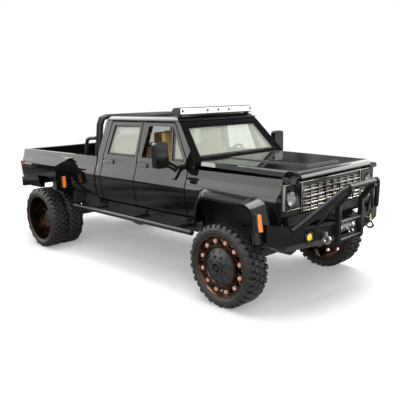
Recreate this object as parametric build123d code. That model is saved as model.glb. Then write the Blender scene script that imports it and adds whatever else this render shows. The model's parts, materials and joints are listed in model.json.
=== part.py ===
from build123d import *
import math
import os

# Lifted crew cab pickup with dual rear wheels, a 1:64 model.
# Millimetres. +X is forward, +Y is the driver's left, +Z is up, and the tyres stand on Z = 0.
# Stations along the truck are measured from the front axle. The finished pieces are moved together
# at the end, so that the origin lies under the middle of the truck's length.

# Wheels
WHEELBASE = 65.3
TYRE_RADIUS = 8.04
AXLE_HEIGHT = TYRE_RADIUS
FRONT_TYRE_WIDTH = 5.35
REAR_TYRE_WIDTH = 4.5
FRONT_TRACK_OUTER = 19.4
REAR_TRACK_OUTER = 21.0
DUAL_GAP = 0.3
RIM_RADIUS = 6.1
RIM_RECESS = 0.28
RIM_WALL = 0.35
WINDOW_COUNT = 12
WINDOW_RING = 4.85
WINDOW_SIZE = 0.5
TYRE_SHOULDER = 0.9
LUG_COUNT = 18
LUG_DEPTH = 0.4
LUG_GAP = 0.8
LUG_SKEW = 16.0
PIN_RADIUS = 0.5
PIN_CLEARANCE = 0.05
SEAT_CLEARANCE = 0.02

# Cab
SKIN = 1.2
ROCKER_BOTTOM = 13.8
FLOOR_TOP = ROCKER_BOTTOM + SKIN
BELT = 25.65
BODY_SIDE = 15.85
SILL_EDGE = (14.5, ROCKER_BOTTOM)  # half width, height, as are the next four
SIDE_BULGE = (15.6, 17.6)
CREASE = (BODY_SIDE, 21.5)
SHOULDER = (15.08, 23.3)
BELT_EDGE = (14.6, BELT)
SILL_LEAN = 0.42
ROOF_TOP = 35.7
ROOF_RAIL = (12.25, ROOF_TOP - 1.8)
ROOF_EDGE = (10.9, ROOF_TOP - 0.5)
ROOF_END = ROOF_TOP - 0.8
ROOF_CORNER = 1.1
CAB_REAR = -44.7
CAB_REAR_TOP = (-43.7, ROOF_TOP - 2.1)
COWL_FRONT = -10.7
WINDSHIELD_BASE = (COWL_FRONT, 26.3)
WINDSHIELD_TOP = (-16.9, ROOF_TOP - 2.2)
WINDSHIELD_FRAME = ((12.2, 26.9), (10.7, ROOF_TOP - 2.8))  # half width, height
REAR_WINDOW_FRAME = ((9.6, 27.2), (9.0, ROOF_TOP - 3.3))

# Doors, as seen from the side
PANEL_GAP = 0.3
DOOR_SKIN = 1.2
DOOR_FRONT = -12.6
DOOR_SPLIT = -29.3
DOOR_REAR = -42.35
DOOR_BOTTOM = 15.1
DOOR_TOP = ROOF_TOP - 1.95
DOOR_ZONE_LOW = 12.9  # doors and their openings stay outboard of these
DOOR_ZONE_HIGH = 10.8
WINDOW_SILL = 26.2
WINDOW_HEAD = DOOR_TOP - 0.75
LIGHT_BAR_RISE = 1.2
LIGHT_BAR_HALF_WIDTH = 11.6
FRONT_WINDOW = (-27.85, -13.75, -18.8, -26.95)  # rear sill, front sill, front head, rear head
REAR_WINDOW = (-41.0, -30.1, -29.9, -39.75)
VENT_POST = (-17.4, -19.0)  # at the sill, at the head
VENT_POST_WIDTH = 0.4
GLASS_INSET = 0.35
GLASS_THICKNESS = 0.4
GLASS_FIT = 0.05
PILLAR_HALF_WIDTH = 0.7
PILLAR_DEPTH = 0.8
PAN_HALF_WIDTH = 12.6
RAIL_LIP = 0.25
HANDLE_SIZE = (3.4, 0.9)
HANDLE_HEIGHT = 24.6
HANDLE_STATIONS = (-27.0, -39.7)
HANDLE_STANDS = 0.3
MIRROR_HEAD = (-15.9, 18.9, 27.8)
MIRROR_SIZE = (1.3, 3.3, 5.2)
MIRROR_FOOT = (-15.6, 22.6)
MIRROR_FOOT_THICKNESS = 0.4

# Front end
FENDER_FRONT = 11.2
FENDER_CORNER = 0.7
FENDER_SKIN = 0.9
FLANGE_DEPTH = 0.7
FENDER_TOP = 24.9
FENDER_TOP_WIDTH = 2.05
HOOD_HALF_WIDTH = BODY_SIDE - FENDER_TOP_WIDTH - PANEL_GAP
HOOD_REAR = -10.4
HOOD_SHOULDER = 10.4
HOOD_NOSE = 13.1
HOOD_NOSE_HALF_WIDTH = HOOD_HALF_WIDTH - 1.65
HOOD_ROLL = 2.0
HOOD_LIP_BOTTOM = 24.8
HOOD_TOP_REAR = 26.5
HOOD_TOP_NOSE = 25.95
HOOD_EDGE_DROP = 0.9
HOOD_THICKNESS = 0.8
RIDGE_HALF_WIDTH = 2.5
RIDGE_HEIGHT = 0.7
RIDGE_NOSE = 8.5
PANEL_FACE = FENDER_FRONT + 0.3
GRILLE_FACE = 11.95
GRILLE_HALF_WIDTH = 10.1
GRILLE_BOTTOM = 18.3
GRILLE_COLUMNS = 8
GRILLE_ROWS = (18.95, 20.2, 21.45, 22.7)
GRILLE_BAR = 0.24
TRIM_TOP = 24.05
TRIM_WIDTH = 0.28
BEZEL_EDGES = (10.6, BODY_SIDE - 0.7)
BEZEL_BOTTOM = 19.35
LAMP_CENTRE = (13.2, 21.5)
LAMP_RADIUS = 1.25

# Bumper and brush guard
BUMPER_BOTTOM = 12.2
BUMPER_FOLD = 13.6
BUMPER_TUCK = 1.1
BUMPER_BACK = 13.2
BUMPER_TOP = 15.9
WING_TIP = (11.4, 17.5)
WING_CORNER = (13.0, 15.3)
WING_INNER = (15.0, 6.0)
GUARD_TUBE = 0.5
COLLAR_RADIUS = 0.65
GUARD_TOP = (18.05, 23.0)
GUARD_ELBOW = (GUARD_TOP[0], 5.4, GUARD_TOP[1])
GUARD_FOOT = (13.2, 14.6, 16.2)
UPRIGHT_Y = 4.0
UPRIGHT_WIDTH = 0.9
FOG_CENTRE = (10.65, 14.5)
FOG_RADIUS = 1.0
FOG_RECESS = 0.35
FOG_STANDS = 0.2
WINCH_BAY = 3.3
WINCH_TRAY = 13.1
WINCH_AXIS = (14.1, 14.4)

# Load bed
BED_FRONT = -45.2
BED_REAR = -83.4
BED_RAIL = 25.3
BED_FLOOR = 17.8
BED_INNER = 13.6
BED_WALL = 1.0
TAILGATE_THICKNESS = 1.1
TAILGATE_BOTTOM = 17.2
TAILGATE_GAP = 0.2
TUB_INNER = 11.0
TUB_TOP = 20.8
ARCH_TOP = 19.6
ARCH_REACH = 10.2
SWEEP = ((-57.5, 20.8), (-53.6, 18.0), (-50.0, 15.9), (BED_FRONT + 1, 15.2))  # lower edge ahead of the rear wheels
ROLL_BAR_RADIUS = 0.5
ROLL_BAR_Y = 12.95
ROLL_BAR_LEAN = 1.65

# Flares
FRONT_FLARE_OUTER = 19.1
FLARE_WALL = 0.55
FLARE_ROOT = ((-9.4, 14.7), (-8.6, 20.2), (-6.0, 21.7), (5.2, 21.4), (9.0, 20.0), (9.9, 13.9))
FLARE_LIP = ((-6.7, 14.7), (-6.1, 18.9), (-3.6, 20.9), (5.4, 20.7), (8.2, 18.9), (8.9, 13.9))
REAR_FLARE_OUTER = 20.2
REAR_FLARE_FRONT = -56.0
REAR_FLARE_REAR = -75.7
REAR_FLARE_TAPER = -68.6
REAR_FLARE_TOP = (24.1, 22.75)  # at the body, at the outer edge
REAR_FLARE_LIP = 19.7
REAR_FLARE_FOOT = 16.4
REAR_FLARE_CHAMFER = 1.0
REAR_FLARE_WALL = 0.7
LAMP_SLAB = 0.3

# Chassis
RAIL_Y = 6.2
RAIL_WIDTH = 1.2
RAIL_BOTTOM = 11.9
RAIL_TOP = 13.6
FRAME_FRONT = BUMPER_BACK - BUMPER_TUCK - 0.4
FRAME_REAR = -82.6
CROSS_MEMBERS = (-9.0, -24.0, -40.0, -56.0, -78.0)
SCREW_BORE = 0.85
SCREW_DEPTH = 3.0
SCREW_STATIONS = (7.6, -73.0)
SCREW_BOSS = 2.0
FRONT_HOUSING = (FRONT_TRACK_OUTER - 4.2, 1.0)  # half length, radius
REAR_HOUSING = (REAR_TRACK_OUTER - 7.15, 1.2)
SHOCK_RADIUS = 0.45
SPRING_REACH = 6.5
STEP_Y = 17.05
STEP_HEIGHT = 12.6
STEP_RADIUS = 0.55
STEP_BRACKETS = (-14.5, -29.0, -45.5)

# Furthest reach at each end, and the step from the front axle to the middle of the truck
FRONT_REACH = GUARD_TOP[0] + COLLAR_RADIUS
REAR_REACH = -86.7
TO_CENTRE = -(FRONT_REACH + REAR_REACH) / 2

REAR_AXLE = -WHEELBASE


def block(x_range, y_range, z_range):
    """Box between two planes on each axis."""
    ranges = (x_range, y_range, z_range)
    sizes = [high - low for low, high in ranges]
    middle = [(low + high) / 2 for low, high in ranges]
    return Pos(*middle) * Box(*sizes)


def from_side(face, y_range):
    """Extrude an XZ outline across the truck."""
    low, high = y_range
    return Pos(0, high, 0) * extrude(Plane.XZ * face, amount=high - low)


def from_front(face, x_range):
    """Extrude a YZ outline along the truck."""
    low, high = x_range
    return Pos(low, 0, 0) * extrude(Plane.YZ * face, amount=high - low)


def from_above(face, z_range):
    """Extrude an XY outline upwards."""
    low, high = z_range
    return Pos(0, 0, low) * extrude(face, amount=high - low)


def outline(points, corner=0.0):
    """Face through points, with its corners rounded."""
    face = make_face(Polyline(*points, close=True))
    return fillet(face.vertices(), corner) if corner else face


def bar_across(radius, y_range, x, z):
    """Round bar along Y."""
    low, high = y_range
    return Pos(x, (low + high) / 2, z) * Rot(90, 0, 0) * Cylinder(radius, high - low)


def rod(start, end, radius):
    """Round bar between two points."""
    run = Vector(*end) - Vector(*start)
    middle = Vector(*start) + run * 0.5
    return Plane(origin=middle, z_dir=run) * Cylinder(radius, run.length)


def eased(points, bend):
    """Points of a run, each corner cut into two short steps round a bend."""
    path = [Vector(*points[0])]
    for before, corner, after in zip(points, points[1:], points[2:]):
        corner = Vector(*corner)
        start = corner + (Vector(*before) - corner).normalized() * bend
        end = corner + (Vector(*after) - corner).normalized() * bend
        path += [start, corner * 0.5 + (start + end) * 0.25, end]
    return [*path, Vector(*points[-1])]


def bent_tube(points, radius, bend):
    """Round tube along straight runs, its corners mitred in short steps."""
    path = Polyline(*eased(points, bend))
    section = Plane(origin=path @ 0, z_dir=path % 0) * Circle(radius)
    return sweep(section, path=path, transition=Transition.RIGHT)


def at_side(face, y):
    """Stand an XZ outline at a distance from the truck's middle."""
    return Plane(origin=(0, y, 0), x_dir=(1, 0, 0), z_dir=(0, -1, 0)) * face


def flipped(shape):
    """The same shape on the other side of the truck."""
    return mirror(shape, Plane.XZ)


def both_sides(shape):
    """A left piece with its right twin."""
    return Compound([*shape.solids(), *flipped(shape).solids()])


def save(node, shape):
    export_step(Pos(TO_CENTRE, 0, 0) * Compound(shape.solids()), f"parts/{node}.step")


# Cab


def side_points(inset):
    """Points of the left body side from sill to belt, moved in by the inset."""
    sill_y = SILL_EDGE[0] + inset * (SILL_LEAN - math.hypot(1, SILL_LEAN))
    upper = [(half_width - inset, height) for half_width, height in (SIDE_BULGE, CREASE, SHOULDER, BELT_EDGE)]
    return [(sill_y, ROCKER_BOTTOM + inset), *upper]


def side_curves(inset, side=1):
    """Body side as two arcs, a bowed lower side and a hollow shoulder, met at the crease."""
    sill, bulge, crease, shoulder, belt = [(side * y, z) for y, z in side_points(inset)]
    return ThreePointArc(sill, bulge, crease), ThreePointArc(crease, shoulder, belt)


def body_face(inset=0.0):
    """Section of the whole body below the belt, its sides moved in by the inset."""
    points = side_points(inset)
    (sill_y, sill_z), (belt_y, belt_z) = points[0], points[-1]
    return make_face([Line((-sill_y, sill_z), (sill_y, sill_z)), *side_curves(inset),
                      Line((belt_y, belt_z), (-belt_y, belt_z)), *side_curves(inset, -1)])


def cab_front_face(inset):
    """The cab seen from the front: body sides, leaning glasshouse and crowned roof."""
    sill, belt = side_points(inset)[0], side_points(inset)[-1]
    rail = (ROOF_RAIL[0] - inset, ROOF_RAIL[1])
    edge_y, edge_z = ROOF_EDGE[0] - inset * 0.7, ROOF_EDGE[1] - inset * 0.7
    middle_y, middle_z = (rail[0] + edge_y) / 2 + 0.25, (rail[1] + edge_z) / 2 + 0.2
    crown = ThreePointArc((edge_y, edge_z), (0, ROOF_TOP - inset), (-edge_y, edge_z))
    curves = [Line((-sill[0], sill[1]), sill), crown]
    for side in (1, -1):
        curves += side_curves(inset, side)
        curves += [Line((side * belt[0], belt[1]), (side * rail[0], rail[1])),
                   ThreePointArc((side * rail[0], rail[1]), (side * middle_y, middle_z), (side * edge_y, edge_z))]
    return make_face(curves)


def cab_side_face(inset):
    """The cab seen from the side: rear wall, bowed roof and raked windshield."""
    run = WINDSHIELD_BASE[0] - WINDSHIELD_TOP[0]
    rise = WINDSHIELD_TOP[1] - WINDSHIELD_BASE[1]
    setback = inset * math.hypot(run, rise) / rise
    base = (COWL_FRONT - inset, WINDSHIELD_BASE[1] - (setback - inset) * rise / run)
    top = (WINDSHIELD_TOP[0] - setback, WINDSHIELD_TOP[1])
    roof_rear = (CAB_REAR_TOP[0] + ROOF_CORNER + inset * 0.6, ROOF_END - inset)
    roof_front = (WINDSHIELD_TOP[0] - ROOF_CORNER * 1.4 - inset * 0.6, ROOF_END - inset)
    roof_middle = ((roof_rear[0] + roof_front[0]) / 2, ROOF_TOP + 0.1 - inset)
    bottom = ROCKER_BOTTOM + inset
    return make_face([
        Polyline(roof_front, top, base, (base[0], bottom), (CAB_REAR + inset, bottom), (CAB_REAR + inset, BELT),
                 (CAB_REAR_TOP[0] + inset, CAB_REAR_TOP[1]), roof_rear),
        ThreePointArc(roof_rear, roof_middle, roof_front),
    ])


def cab_form(inset=0.0):
    """Solid cab, its surface moved in by the inset (or out, when negative)."""
    length = from_front(cab_front_face(inset), (CAB_REAR - 2, COWL_FRONT + 2))
    return length & from_side(cab_side_face(inset), (-BODY_SIDE - 2, BODY_SIDE + 2))


def front_edge(height):
    """Station of the front door's leading edge, which leans back above the belt."""
    rise = max(0.0, height - BELT)
    lean = (FRONT_WINDOW[2] - FRONT_WINDOW[1]) / (WINDOW_HEAD - WINDOW_SILL)
    return DOOR_FRONT + rise * lean


def rear_edge(height):
    """Station of the rear door's trailing edge, which leans forward above the belt."""
    rise = max(0.0, height - BELT)
    lean = (REAR_WINDOW[3] - REAR_WINDOW[0]) / (WINDOW_HEAD - WINDOW_SILL)
    return DOOR_REAR + rise * lean


def door_outline(front, grow=0.0):
    """Side view of a front or rear door, grown by the gap where it cuts the aperture."""
    bottom, top = DOOR_BOTTOM - grow, DOOR_TOP + grow
    half_gap = PANEL_GAP / 2
    if front:
        rear = DOOR_SPLIT + half_gap
        points = [(rear, bottom), (DOOR_FRONT, bottom), (DOOR_FRONT, BELT),
                  (front_edge(top), top), (rear, top)]
    else:
        lead = DOOR_SPLIT - half_gap
        points = [(DOOR_REAR, bottom), (lead, bottom), (lead, top),
                  (rear_edge(top), top), (DOOR_REAR, BELT)]
    return outline(points)


def aperture_outline():
    """Side view of the opening behind both doors, and of the seat of the front fender."""
    bottom, top = DOOR_BOTTOM - PANEL_GAP, DOOR_TOP + PANEL_GAP
    seat_top = FENDER_TOP + PANEL_GAP
    past_cowl = COWL_FRONT + 2
    return outline([
        (DOOR_REAR - PANEL_GAP, bottom),
        (DOOR_FRONT + PANEL_GAP, bottom),
        (DOOR_FRONT + PANEL_GAP, ROCKER_BOTTOM - 1),
        (past_cowl, ROCKER_BOTTOM - 1),
        (past_cowl, seat_top),
        (DOOR_FRONT + PANEL_GAP, seat_top),
        (DOOR_FRONT + PANEL_GAP, BELT),
        (front_edge(top) + PANEL_GAP, top),
        (rear_edge(top) - PANEL_GAP, top),
        (DOOR_REAR - PANEL_GAP, BELT),
    ])


def window_outline(stations, shrink=0.0):
    """Side window between its sill and head."""
    rear_sill, front_sill, front_head, rear_head = stations
    low, high = WINDOW_SILL + shrink, WINDOW_HEAD - shrink
    return outline([(rear_sill + shrink, low), (front_sill - shrink * 1.6, low),
                    (front_head - shrink, high), (rear_head + shrink, high)])


def window_frame(corners, shrink=0.0):
    """Windshield or rear window seen from the front."""
    (low_half, low), (high_half, high) = corners
    low_half, high_half = low_half - shrink, high_half - shrink
    low, high = low + shrink, high - shrink
    return outline([(-low_half, low), (low_half, low), (high_half, high), (-high_half, high)], 0.4)


def side_zone():
    """Left space of the doors: outboard of the floor's edge, and above the belt of the roof's edge."""
    far = BODY_SIDE + 3
    return from_front(outline([(DOOR_ZONE_LOW, 0), (far, 0), (far, 40), (DOOR_ZONE_HIGH, 40),
                               (DOOR_ZONE_HIGH, BELT), (DOOR_ZONE_LOW, BELT)]), (CAB_REAR, COWL_FRONT + 3))


def make_cab_shell():
    windshield = from_front(window_frame(WINDSHIELD_FRAME), (WINDSHIELD_TOP[0] - 3, COWL_FRONT + 2))
    rear_window = from_front(window_frame(REAR_WINDOW_FRAME), (CAB_REAR - 1, CAB_REAR + 3))
    shell = cab_form() - cab_form(SKIN)
    pillar_slab = block((DOOR_SPLIT - PILLAR_HALF_WIDTH, DOOR_SPLIT + PILLAR_HALF_WIDTH),
                        (-BODY_SIDE, BODY_SIDE), (ROCKER_BOTTOM, ROOF_TOP))
    pan_space = block((CAB_REAR, COWL_FRONT), (-PAN_HALF_WIDTH - 0.1, PAN_HALF_WIDTH + 0.1),
                      (ROCKER_BOTTOM + SKIN, FLOOR_TOP + 1.5))
    shell += ((cab_form(SKIN / 2) - cab_form(SKIN + PILLAR_DEPTH)) & pillar_slab) - pan_space
    skin_layer = cab_form(-1.0) - cab_form(DOOR_SKIN + GLASS_FIT * 3)
    opening = skin_layer & from_side(aperture_outline(), (0, BODY_SIDE + 3)) & side_zone()
    shell -= opening
    shell -= flipped(opening)
    rail_low = DOOR_TOP + PANEL_GAP + 0.1
    rail_line = block((CAB_REAR_TOP[0] + 0.4, WINDSHIELD_TOP[0] - 0.4), (-BODY_SIDE, BODY_SIDE),
                      (rail_low, rail_low + RAIL_LIP))
    shell += (cab_form(-RAIL_LIP) - cab_form(SKIN / 2)) & rail_line
    return shell - windshield - rear_window


def handle_outline(station):
    """Side view of a door handle."""
    length, height = HANDLE_SIZE
    return Pos(station, HANDLE_HEIGHT) * SlotOverall(length, height)


def make_doors():
    """The two left doors: skins cut from the cab's own surface, with their windows open."""
    skin_layer = (cab_form() - cab_form(DOOR_SKIN)) & side_zone()
    left_half = (0, BODY_SIDE + 3)
    front = skin_layer & from_side(door_outline(True), left_half)
    rear = skin_layer & from_side(door_outline(False), left_half)
    sill, head = VENT_POST
    post = from_side(outline([(sill - VENT_POST_WIDTH, WINDOW_SILL - 0.5), (sill, WINDOW_SILL - 0.5),
                              (head, WINDOW_HEAD + 0.5), (head - VENT_POST_WIDTH, WINDOW_HEAD + 0.5)]),
                     left_half)
    front -= from_side(window_outline(FRONT_WINDOW), left_half) - post
    rear -= from_side(window_outline(REAR_WINDOW), left_half)
    handle_layer = cab_form(-HANDLE_STANDS) - cab_form(DOOR_SKIN / 2)
    front, rear = [door + (handle_layer & from_side(handle_outline(x), left_half))
                   for door, x in ((front, HANDLE_STATIONS[0]), (rear, HANDLE_STATIONS[1]))]
    return front, rear


def glass_layer():
    return cab_form(GLASS_INSET) - cab_form(GLASS_INSET + GLASS_THICKNESS)


def make_side_glass():
    """Left vent glass ahead of its post, and left rear door glass."""
    left_half = (0, BODY_SIDE + 3)
    sill, head = VENT_POST
    vent = outline([(sill + GLASS_FIT, WINDOW_SILL + GLASS_FIT),
                    (FRONT_WINDOW[1] - 2 * GLASS_FIT, WINDOW_SILL + GLASS_FIT),
                    (FRONT_WINDOW[2] + 0.1, WINDOW_HEAD - 4 * GLASS_FIT)])
    rear = window_outline(REAR_WINDOW, GLASS_FIT)
    return [glass_layer() & from_side(face, left_half) for face in (vent, rear)]


def make_end_glass():
    """Windshield and rear window."""
    windshield = from_front(window_frame(WINDSHIELD_FRAME, GLASS_FIT), (WINDSHIELD_TOP[0] - 3, COWL_FRONT + 2))
    rear_window = from_front(window_frame(REAR_WINDOW_FRAME, GLASS_FIT), (CAB_REAR - 1, CAB_REAR + 3))
    return glass_layer() & windshield, glass_layer() & rear_window


def make_mirror():
    """Left tow mirror: a tall head on two short arms from a foot on the door's skin."""
    x, y, z = MIRROR_HEAD
    depth, width, height = MIRROR_SIZE
    head = Pos(x, y, z) * Box(depth, width, height)
    head = fillet(head.edges().filter_by(Axis.X), 0.6)
    foot_x, foot_z = MIRROR_FOOT
    foot_side = outline([(foot_x - 1.6, foot_z), (foot_x, foot_z), (foot_x + 1.4, BELT - 0.4),
                         (foot_x - 0.6, BELT - 0.4)])
    foot = from_side(foot_side, (BODY_SIDE - 3, BODY_SIDE + 1))
    foot &= cab_form(-MIRROR_FOOT_THICKNESS)
    root_y = BELT_EDGE[0]
    arms = [rod((foot_x, root_y, arm_z), (x, y - width / 2 + 0.3, head_z), 0.3)
            for arm_z, head_z in ((BELT - 1.7, z - 2.0), (BELT - 0.8, z - 1.2))]
    return (head + foot + arms[0] + arms[1]) - cab_form()


# Front end


def make_fender():
    """Left front fender: skin, top flange and the brow over the headlamp."""
    span = (DOOR_FRONT + PANEL_GAP, FENDER_FRONT)
    inner = HOOD_HALF_WIDTH + PANEL_GAP
    skin = from_front(body_face(), span) & block(span, (inner, BODY_SIDE + 1), (0, FENDER_TOP))
    skin -= from_front(body_face(FENDER_SKIN), span) & block(span, (0, BODY_SIDE), (0, FENDER_TOP - FLANGE_DEPTH))
    corner = outline([(span[0], 0), (span[1], 0), (span[1], BODY_SIDE - FENDER_CORNER),
                      (span[1] - FENDER_CORNER, BODY_SIDE + 0.1), (span[0], BODY_SIDE + 0.1)])
    skin &= from_above(corner, (0, FENDER_TOP + 1))
    brow_inner = HOOD_NOSE_HALF_WIDTH + PANEL_GAP
    brow = outline([(brow_inner, TRIM_TOP + 0.1), (14.6, TRIM_TOP + 0.1), (14.75, TRIM_TOP + 0.5),
                    (14.3, FENDER_TOP + 0.15), (brow_inner, FENDER_TOP + 0.3)])
    skin += from_front(brow, (HOOD_SHOULDER + PANEL_GAP, HOOD_NOSE - 0.2))
    arch = arched(FLARE_ROOT, FLARE_WALL, 4.0)
    lower_front = block((8.5, FENDER_FRONT + 1), (0, BODY_SIDE + 1), (12, 15.6))
    return skin - from_side(arch, (0, BODY_SIDE + 1)) - lower_front


def arched(points, inset=0.0, drop=0.0):
    """Side view of an arch from its rear foot over to its front foot, with both top corners round.

    The inset moves the outline towards the wheel, and the drop lengthens its feet.
    """
    centre = Vector(0.6, 13.0)
    moved = []
    for place, point in enumerate(points):
        away = Vector(*point) - centre
        foot = place in (0, len(points) - 1)
        moved.append(Vector(*point) - away.normalized() * inset - Vector(0, drop if foot else 0))
    rear_foot, rear_low, rear_high, front_high, front_low, front_foot = moved

    def corner(start, end):
        middle = (start + end) * 0.5
        return ThreePointArc(start, middle + (middle - centre).normalized() * (end - start).length * 0.17, end)

    return make_face([Line(rear_foot, rear_low), corner(rear_low, rear_high), Line(rear_high, front_high),
                      corner(front_high, front_low), Line(front_low, front_foot), Line(front_foot, rear_foot)])


def flare_form(inset=0.0, drop=0.0):
    """Front flare as a full form: straight out of the body, then narrowing to its lip."""
    root, lip = arched(FLARE_ROOT, inset, drop), arched(FLARE_LIP, inset, drop)
    reach = FRONT_FLARE_OUTER + (0.1 if inset else 0.0)
    stem = from_side(root, (BODY_SIDE - 2, BODY_SIDE))
    return stem + loft([at_side(root, BODY_SIDE), at_side(lip, reach)], ruled=True)


def body_block():
    """The body's full form along the truck, grown by a hair for what lies on it."""
    return from_front(body_face(-0.03), (BED_REAR - 1, FENDER_FRONT + 0.1))


def make_front_flare():
    """Left front flare: a sloping deck, slanted ends and a thin lip over the wheel."""
    return flare_form() - flare_form(FLARE_WALL, 3.0) - body_block()


def make_hood():
    """Hood: a nearly flat panel with rolled sides, a centre ridge and a full width nose."""
    slope = math.degrees(math.atan2(HOOD_TOP_REAR - HOOD_TOP_NOSE, HOOD_NOSE - HOOD_REAR))
    top, edge = HOOD_TOP_REAR, HOOD_TOP_REAR - HOOD_EDGE_DROP
    roll, wall = HOOD_HALF_WIDTH - HOOD_ROLL, HOOD_HALF_WIDTH - HOOD_THICKNESS
    section = outline([(-HOOD_HALF_WIDTH, edge), (-HOOD_HALF_WIDTH + 0.7, top - 0.2), (-roll, top), (roll, top),
                       (HOOD_HALF_WIDTH - 0.7, top - 0.2), (HOOD_HALF_WIDTH, edge),
                       (wall, edge), (roll, top - HOOD_THICKNESS), (-roll, top - HOOD_THICKNESS), (-wall, edge)])
    panel = from_front(section, (HOOD_REAR, HOOD_NOSE - 0.5))
    ends = [(HOOD_REAR, RIDGE_HALF_WIDTH, top + RIDGE_HEIGHT), (RIDGE_NOSE, RIDGE_HALF_WIDTH / 4, top + 0.03)]
    foot_z = top - HOOD_THICKNESS / 2
    sections = []
    for x, half, high in ends:
        section = outline([(-half - 0.8, foot_z), (-half, high), (half, high), (half + 0.8, foot_z)])
        sections.append(Pos(x, 0, 0) * Plane.YZ * section)
    ridge = loft(sections, ruled=True)
    panel = Pos(HOOD_REAR, 0, top) * Rot(0, slope, 0) * Pos(-HOOD_REAR, 0, -top) * (panel + ridge)
    plan = outline([(HOOD_REAR, -HOOD_HALF_WIDTH), (HOOD_SHOULDER, -HOOD_HALF_WIDTH),
                    (HOOD_SHOULDER, -HOOD_NOSE_HALF_WIDTH), (HOOD_NOSE, -HOOD_NOSE_HALF_WIDTH),
                    (HOOD_NOSE, HOOD_NOSE_HALF_WIDTH), (HOOD_SHOULDER, HOOD_NOSE_HALF_WIDTH),
                    (HOOD_SHOULDER, HOOD_HALF_WIDTH), (HOOD_REAR, HOOD_HALF_WIDTH)])
    panel &= from_above(plan, (20, 30))
    nose = make_face([Polyline((HOOD_NOSE - 0.6, HOOD_TOP_NOSE), (HOOD_NOSE - 2, HOOD_TOP_NOSE + 0.03),
                               (HOOD_NOSE - 2, HOOD_TOP_NOSE - 0.7), (HOOD_NOSE - 0.8, HOOD_TOP_NOSE - 0.7),
                               (HOOD_NOSE - 0.8, HOOD_LIP_BOTTOM), (HOOD_NOSE, HOOD_LIP_BOTTOM),
                               (HOOD_NOSE, HOOD_TOP_NOSE - 0.6)),
                      RadiusArc((HOOD_NOSE, HOOD_TOP_NOSE - 0.6), (HOOD_NOSE - 0.6, HOOD_TOP_NOSE), -0.6)])
    return panel + from_side(nose, (-HOOD_NOSE_HALF_WIDTH, HOOD_NOSE_HALF_WIDTH))


def make_front_panel():
    """Plate behind grille and headlamps, with the sill under them."""
    half_width = HOOD_HALF_WIDTH + PANEL_GAP
    plate = block((9.7, FENDER_FRONT - 0.1), (-half_width, half_width), (15.8, TRIM_TOP))
    neck = block((FENDER_FRONT - 0.2, FENDER_FRONT + 0.1), (-half_width + 0.2, half_width - 0.2), (16.6, TRIM_TOP))
    face = block((FENDER_FRONT + 0.05, PANEL_FACE), (-BEZEL_EDGES[1], BEZEL_EDGES[1]), (GRILLE_BOTTOM, TRIM_TOP))
    sill = block((FENDER_FRONT, GRILLE_FACE - 0.1), (-half_width, half_width), (16.6, GRILLE_BOTTOM - 0.1))
    return plate + neck + face + sill


def make_grille():
    """Dark grille backing, and the bright bars and trim frame in front of it."""
    back = block((PANEL_FACE + 0.02, PANEL_FACE + 0.12), (-GRILLE_HALF_WIDTH, GRILLE_HALF_WIDTH),
                 (GRILLE_BOTTOM + 0.1, TRIM_TOP - TRIM_WIDTH - 0.05))
    depth = (PANEL_FACE + 0.14, GRILLE_FACE)
    reach, pitch = GRILLE_HALF_WIDTH - 0.3, 2 * (GRILLE_HALF_WIDTH - 0.3) / GRILLE_COLUMNS
    bars = None
    for height in GRILLE_ROWS:
        for offset in (-0.28, 0.28):
            bar = block(depth, (-reach, reach), (height + offset - GRILLE_BAR / 2, height + offset + GRILLE_BAR / 2))
            bars = bar if bars is None else bars + bar
    for column in range(GRILLE_COLUMNS + 1):
        y = -reach + column * pitch
        bars += block((depth[0], depth[1] - 0.08), (y - 0.1, y + 0.1), (GRILLE_ROWS[0] - 0.3, GRILLE_ROWS[-1] + 0.3))
    return back, bars


def make_trim():
    """Bright strip along the top of the front, turned down at both ends, and its foot under each headlamp."""
    inner, outer = BEZEL_EDGES
    depth = (PANEL_FACE + 0.02, GRILLE_FACE + 0.05)
    trim = block(depth, (-outer, outer), (TRIM_TOP - TRIM_WIDTH, TRIM_TOP))
    for side in (-1, 1):
        trim += block(depth, sorted((side * (outer - TRIM_WIDTH * 0.8), side * outer)), (BEZEL_BOTTOM, TRIM_TOP))
        trim += block(depth, sorted((side * inner, side * outer)), (BEZEL_BOTTOM, BEZEL_BOTTOM + TRIM_WIDTH * 0.7))
    return trim


def make_headlamps():
    """Left lamp bezel, a square plate dished round the lamp, and the lamp."""
    y, z = LAMP_CENTRE
    inner, outer = BEZEL_EDGES
    bezel = block((PANEL_FACE + 0.02, GRILLE_FACE - 0.1), (inner + 0.05, outer - TRIM_WIDTH * 0.8 - 0.05),
                  (BEZEL_BOTTOM + TRIM_WIDTH * 0.7 + 0.05, TRIM_TOP - TRIM_WIDTH - 0.05))
    towards_front = Plane(origin=(PANEL_FACE, y, z), z_dir=(1, 0, 0))
    dish = towards_front * Pos(0, 0, 0.3) * Cone(LAMP_RADIUS + 0.1, LAMP_RADIUS + 0.5, 0.6)
    lamp = towards_front * Pos(0, 0, 0.2) * Cylinder(LAMP_RADIUS, 0.3)
    lamp += towards_front * Pos(0, 0, 0.5) * Cone(LAMP_RADIUS, LAMP_RADIUS * 0.55, 0.3)
    return bezel - dish, lamp


def bumper_plan(tuck=0.0):
    """Plan of the front bumper, its front face moved back by the tuck."""
    left = [(WING_INNER[0] - tuck, WING_INNER[1]), (WING_CORNER[0] - tuck, WING_CORNER[1] - tuck * 0.2),
            (WING_TIP[0] - tuck * 0.7, WING_TIP[1] - tuck * 0.2), (9.9, 17.5 - tuck * 0.2), (9.9, 16.2),
            (11.5 - tuck, 16.2), (BUMPER_BACK - 1.4 - tuck, 14.6), (BUMPER_BACK - tuck, 6.0)]
    right = [(x, -y) for x, y in reversed(left)]
    return outline([*left, *right])


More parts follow.
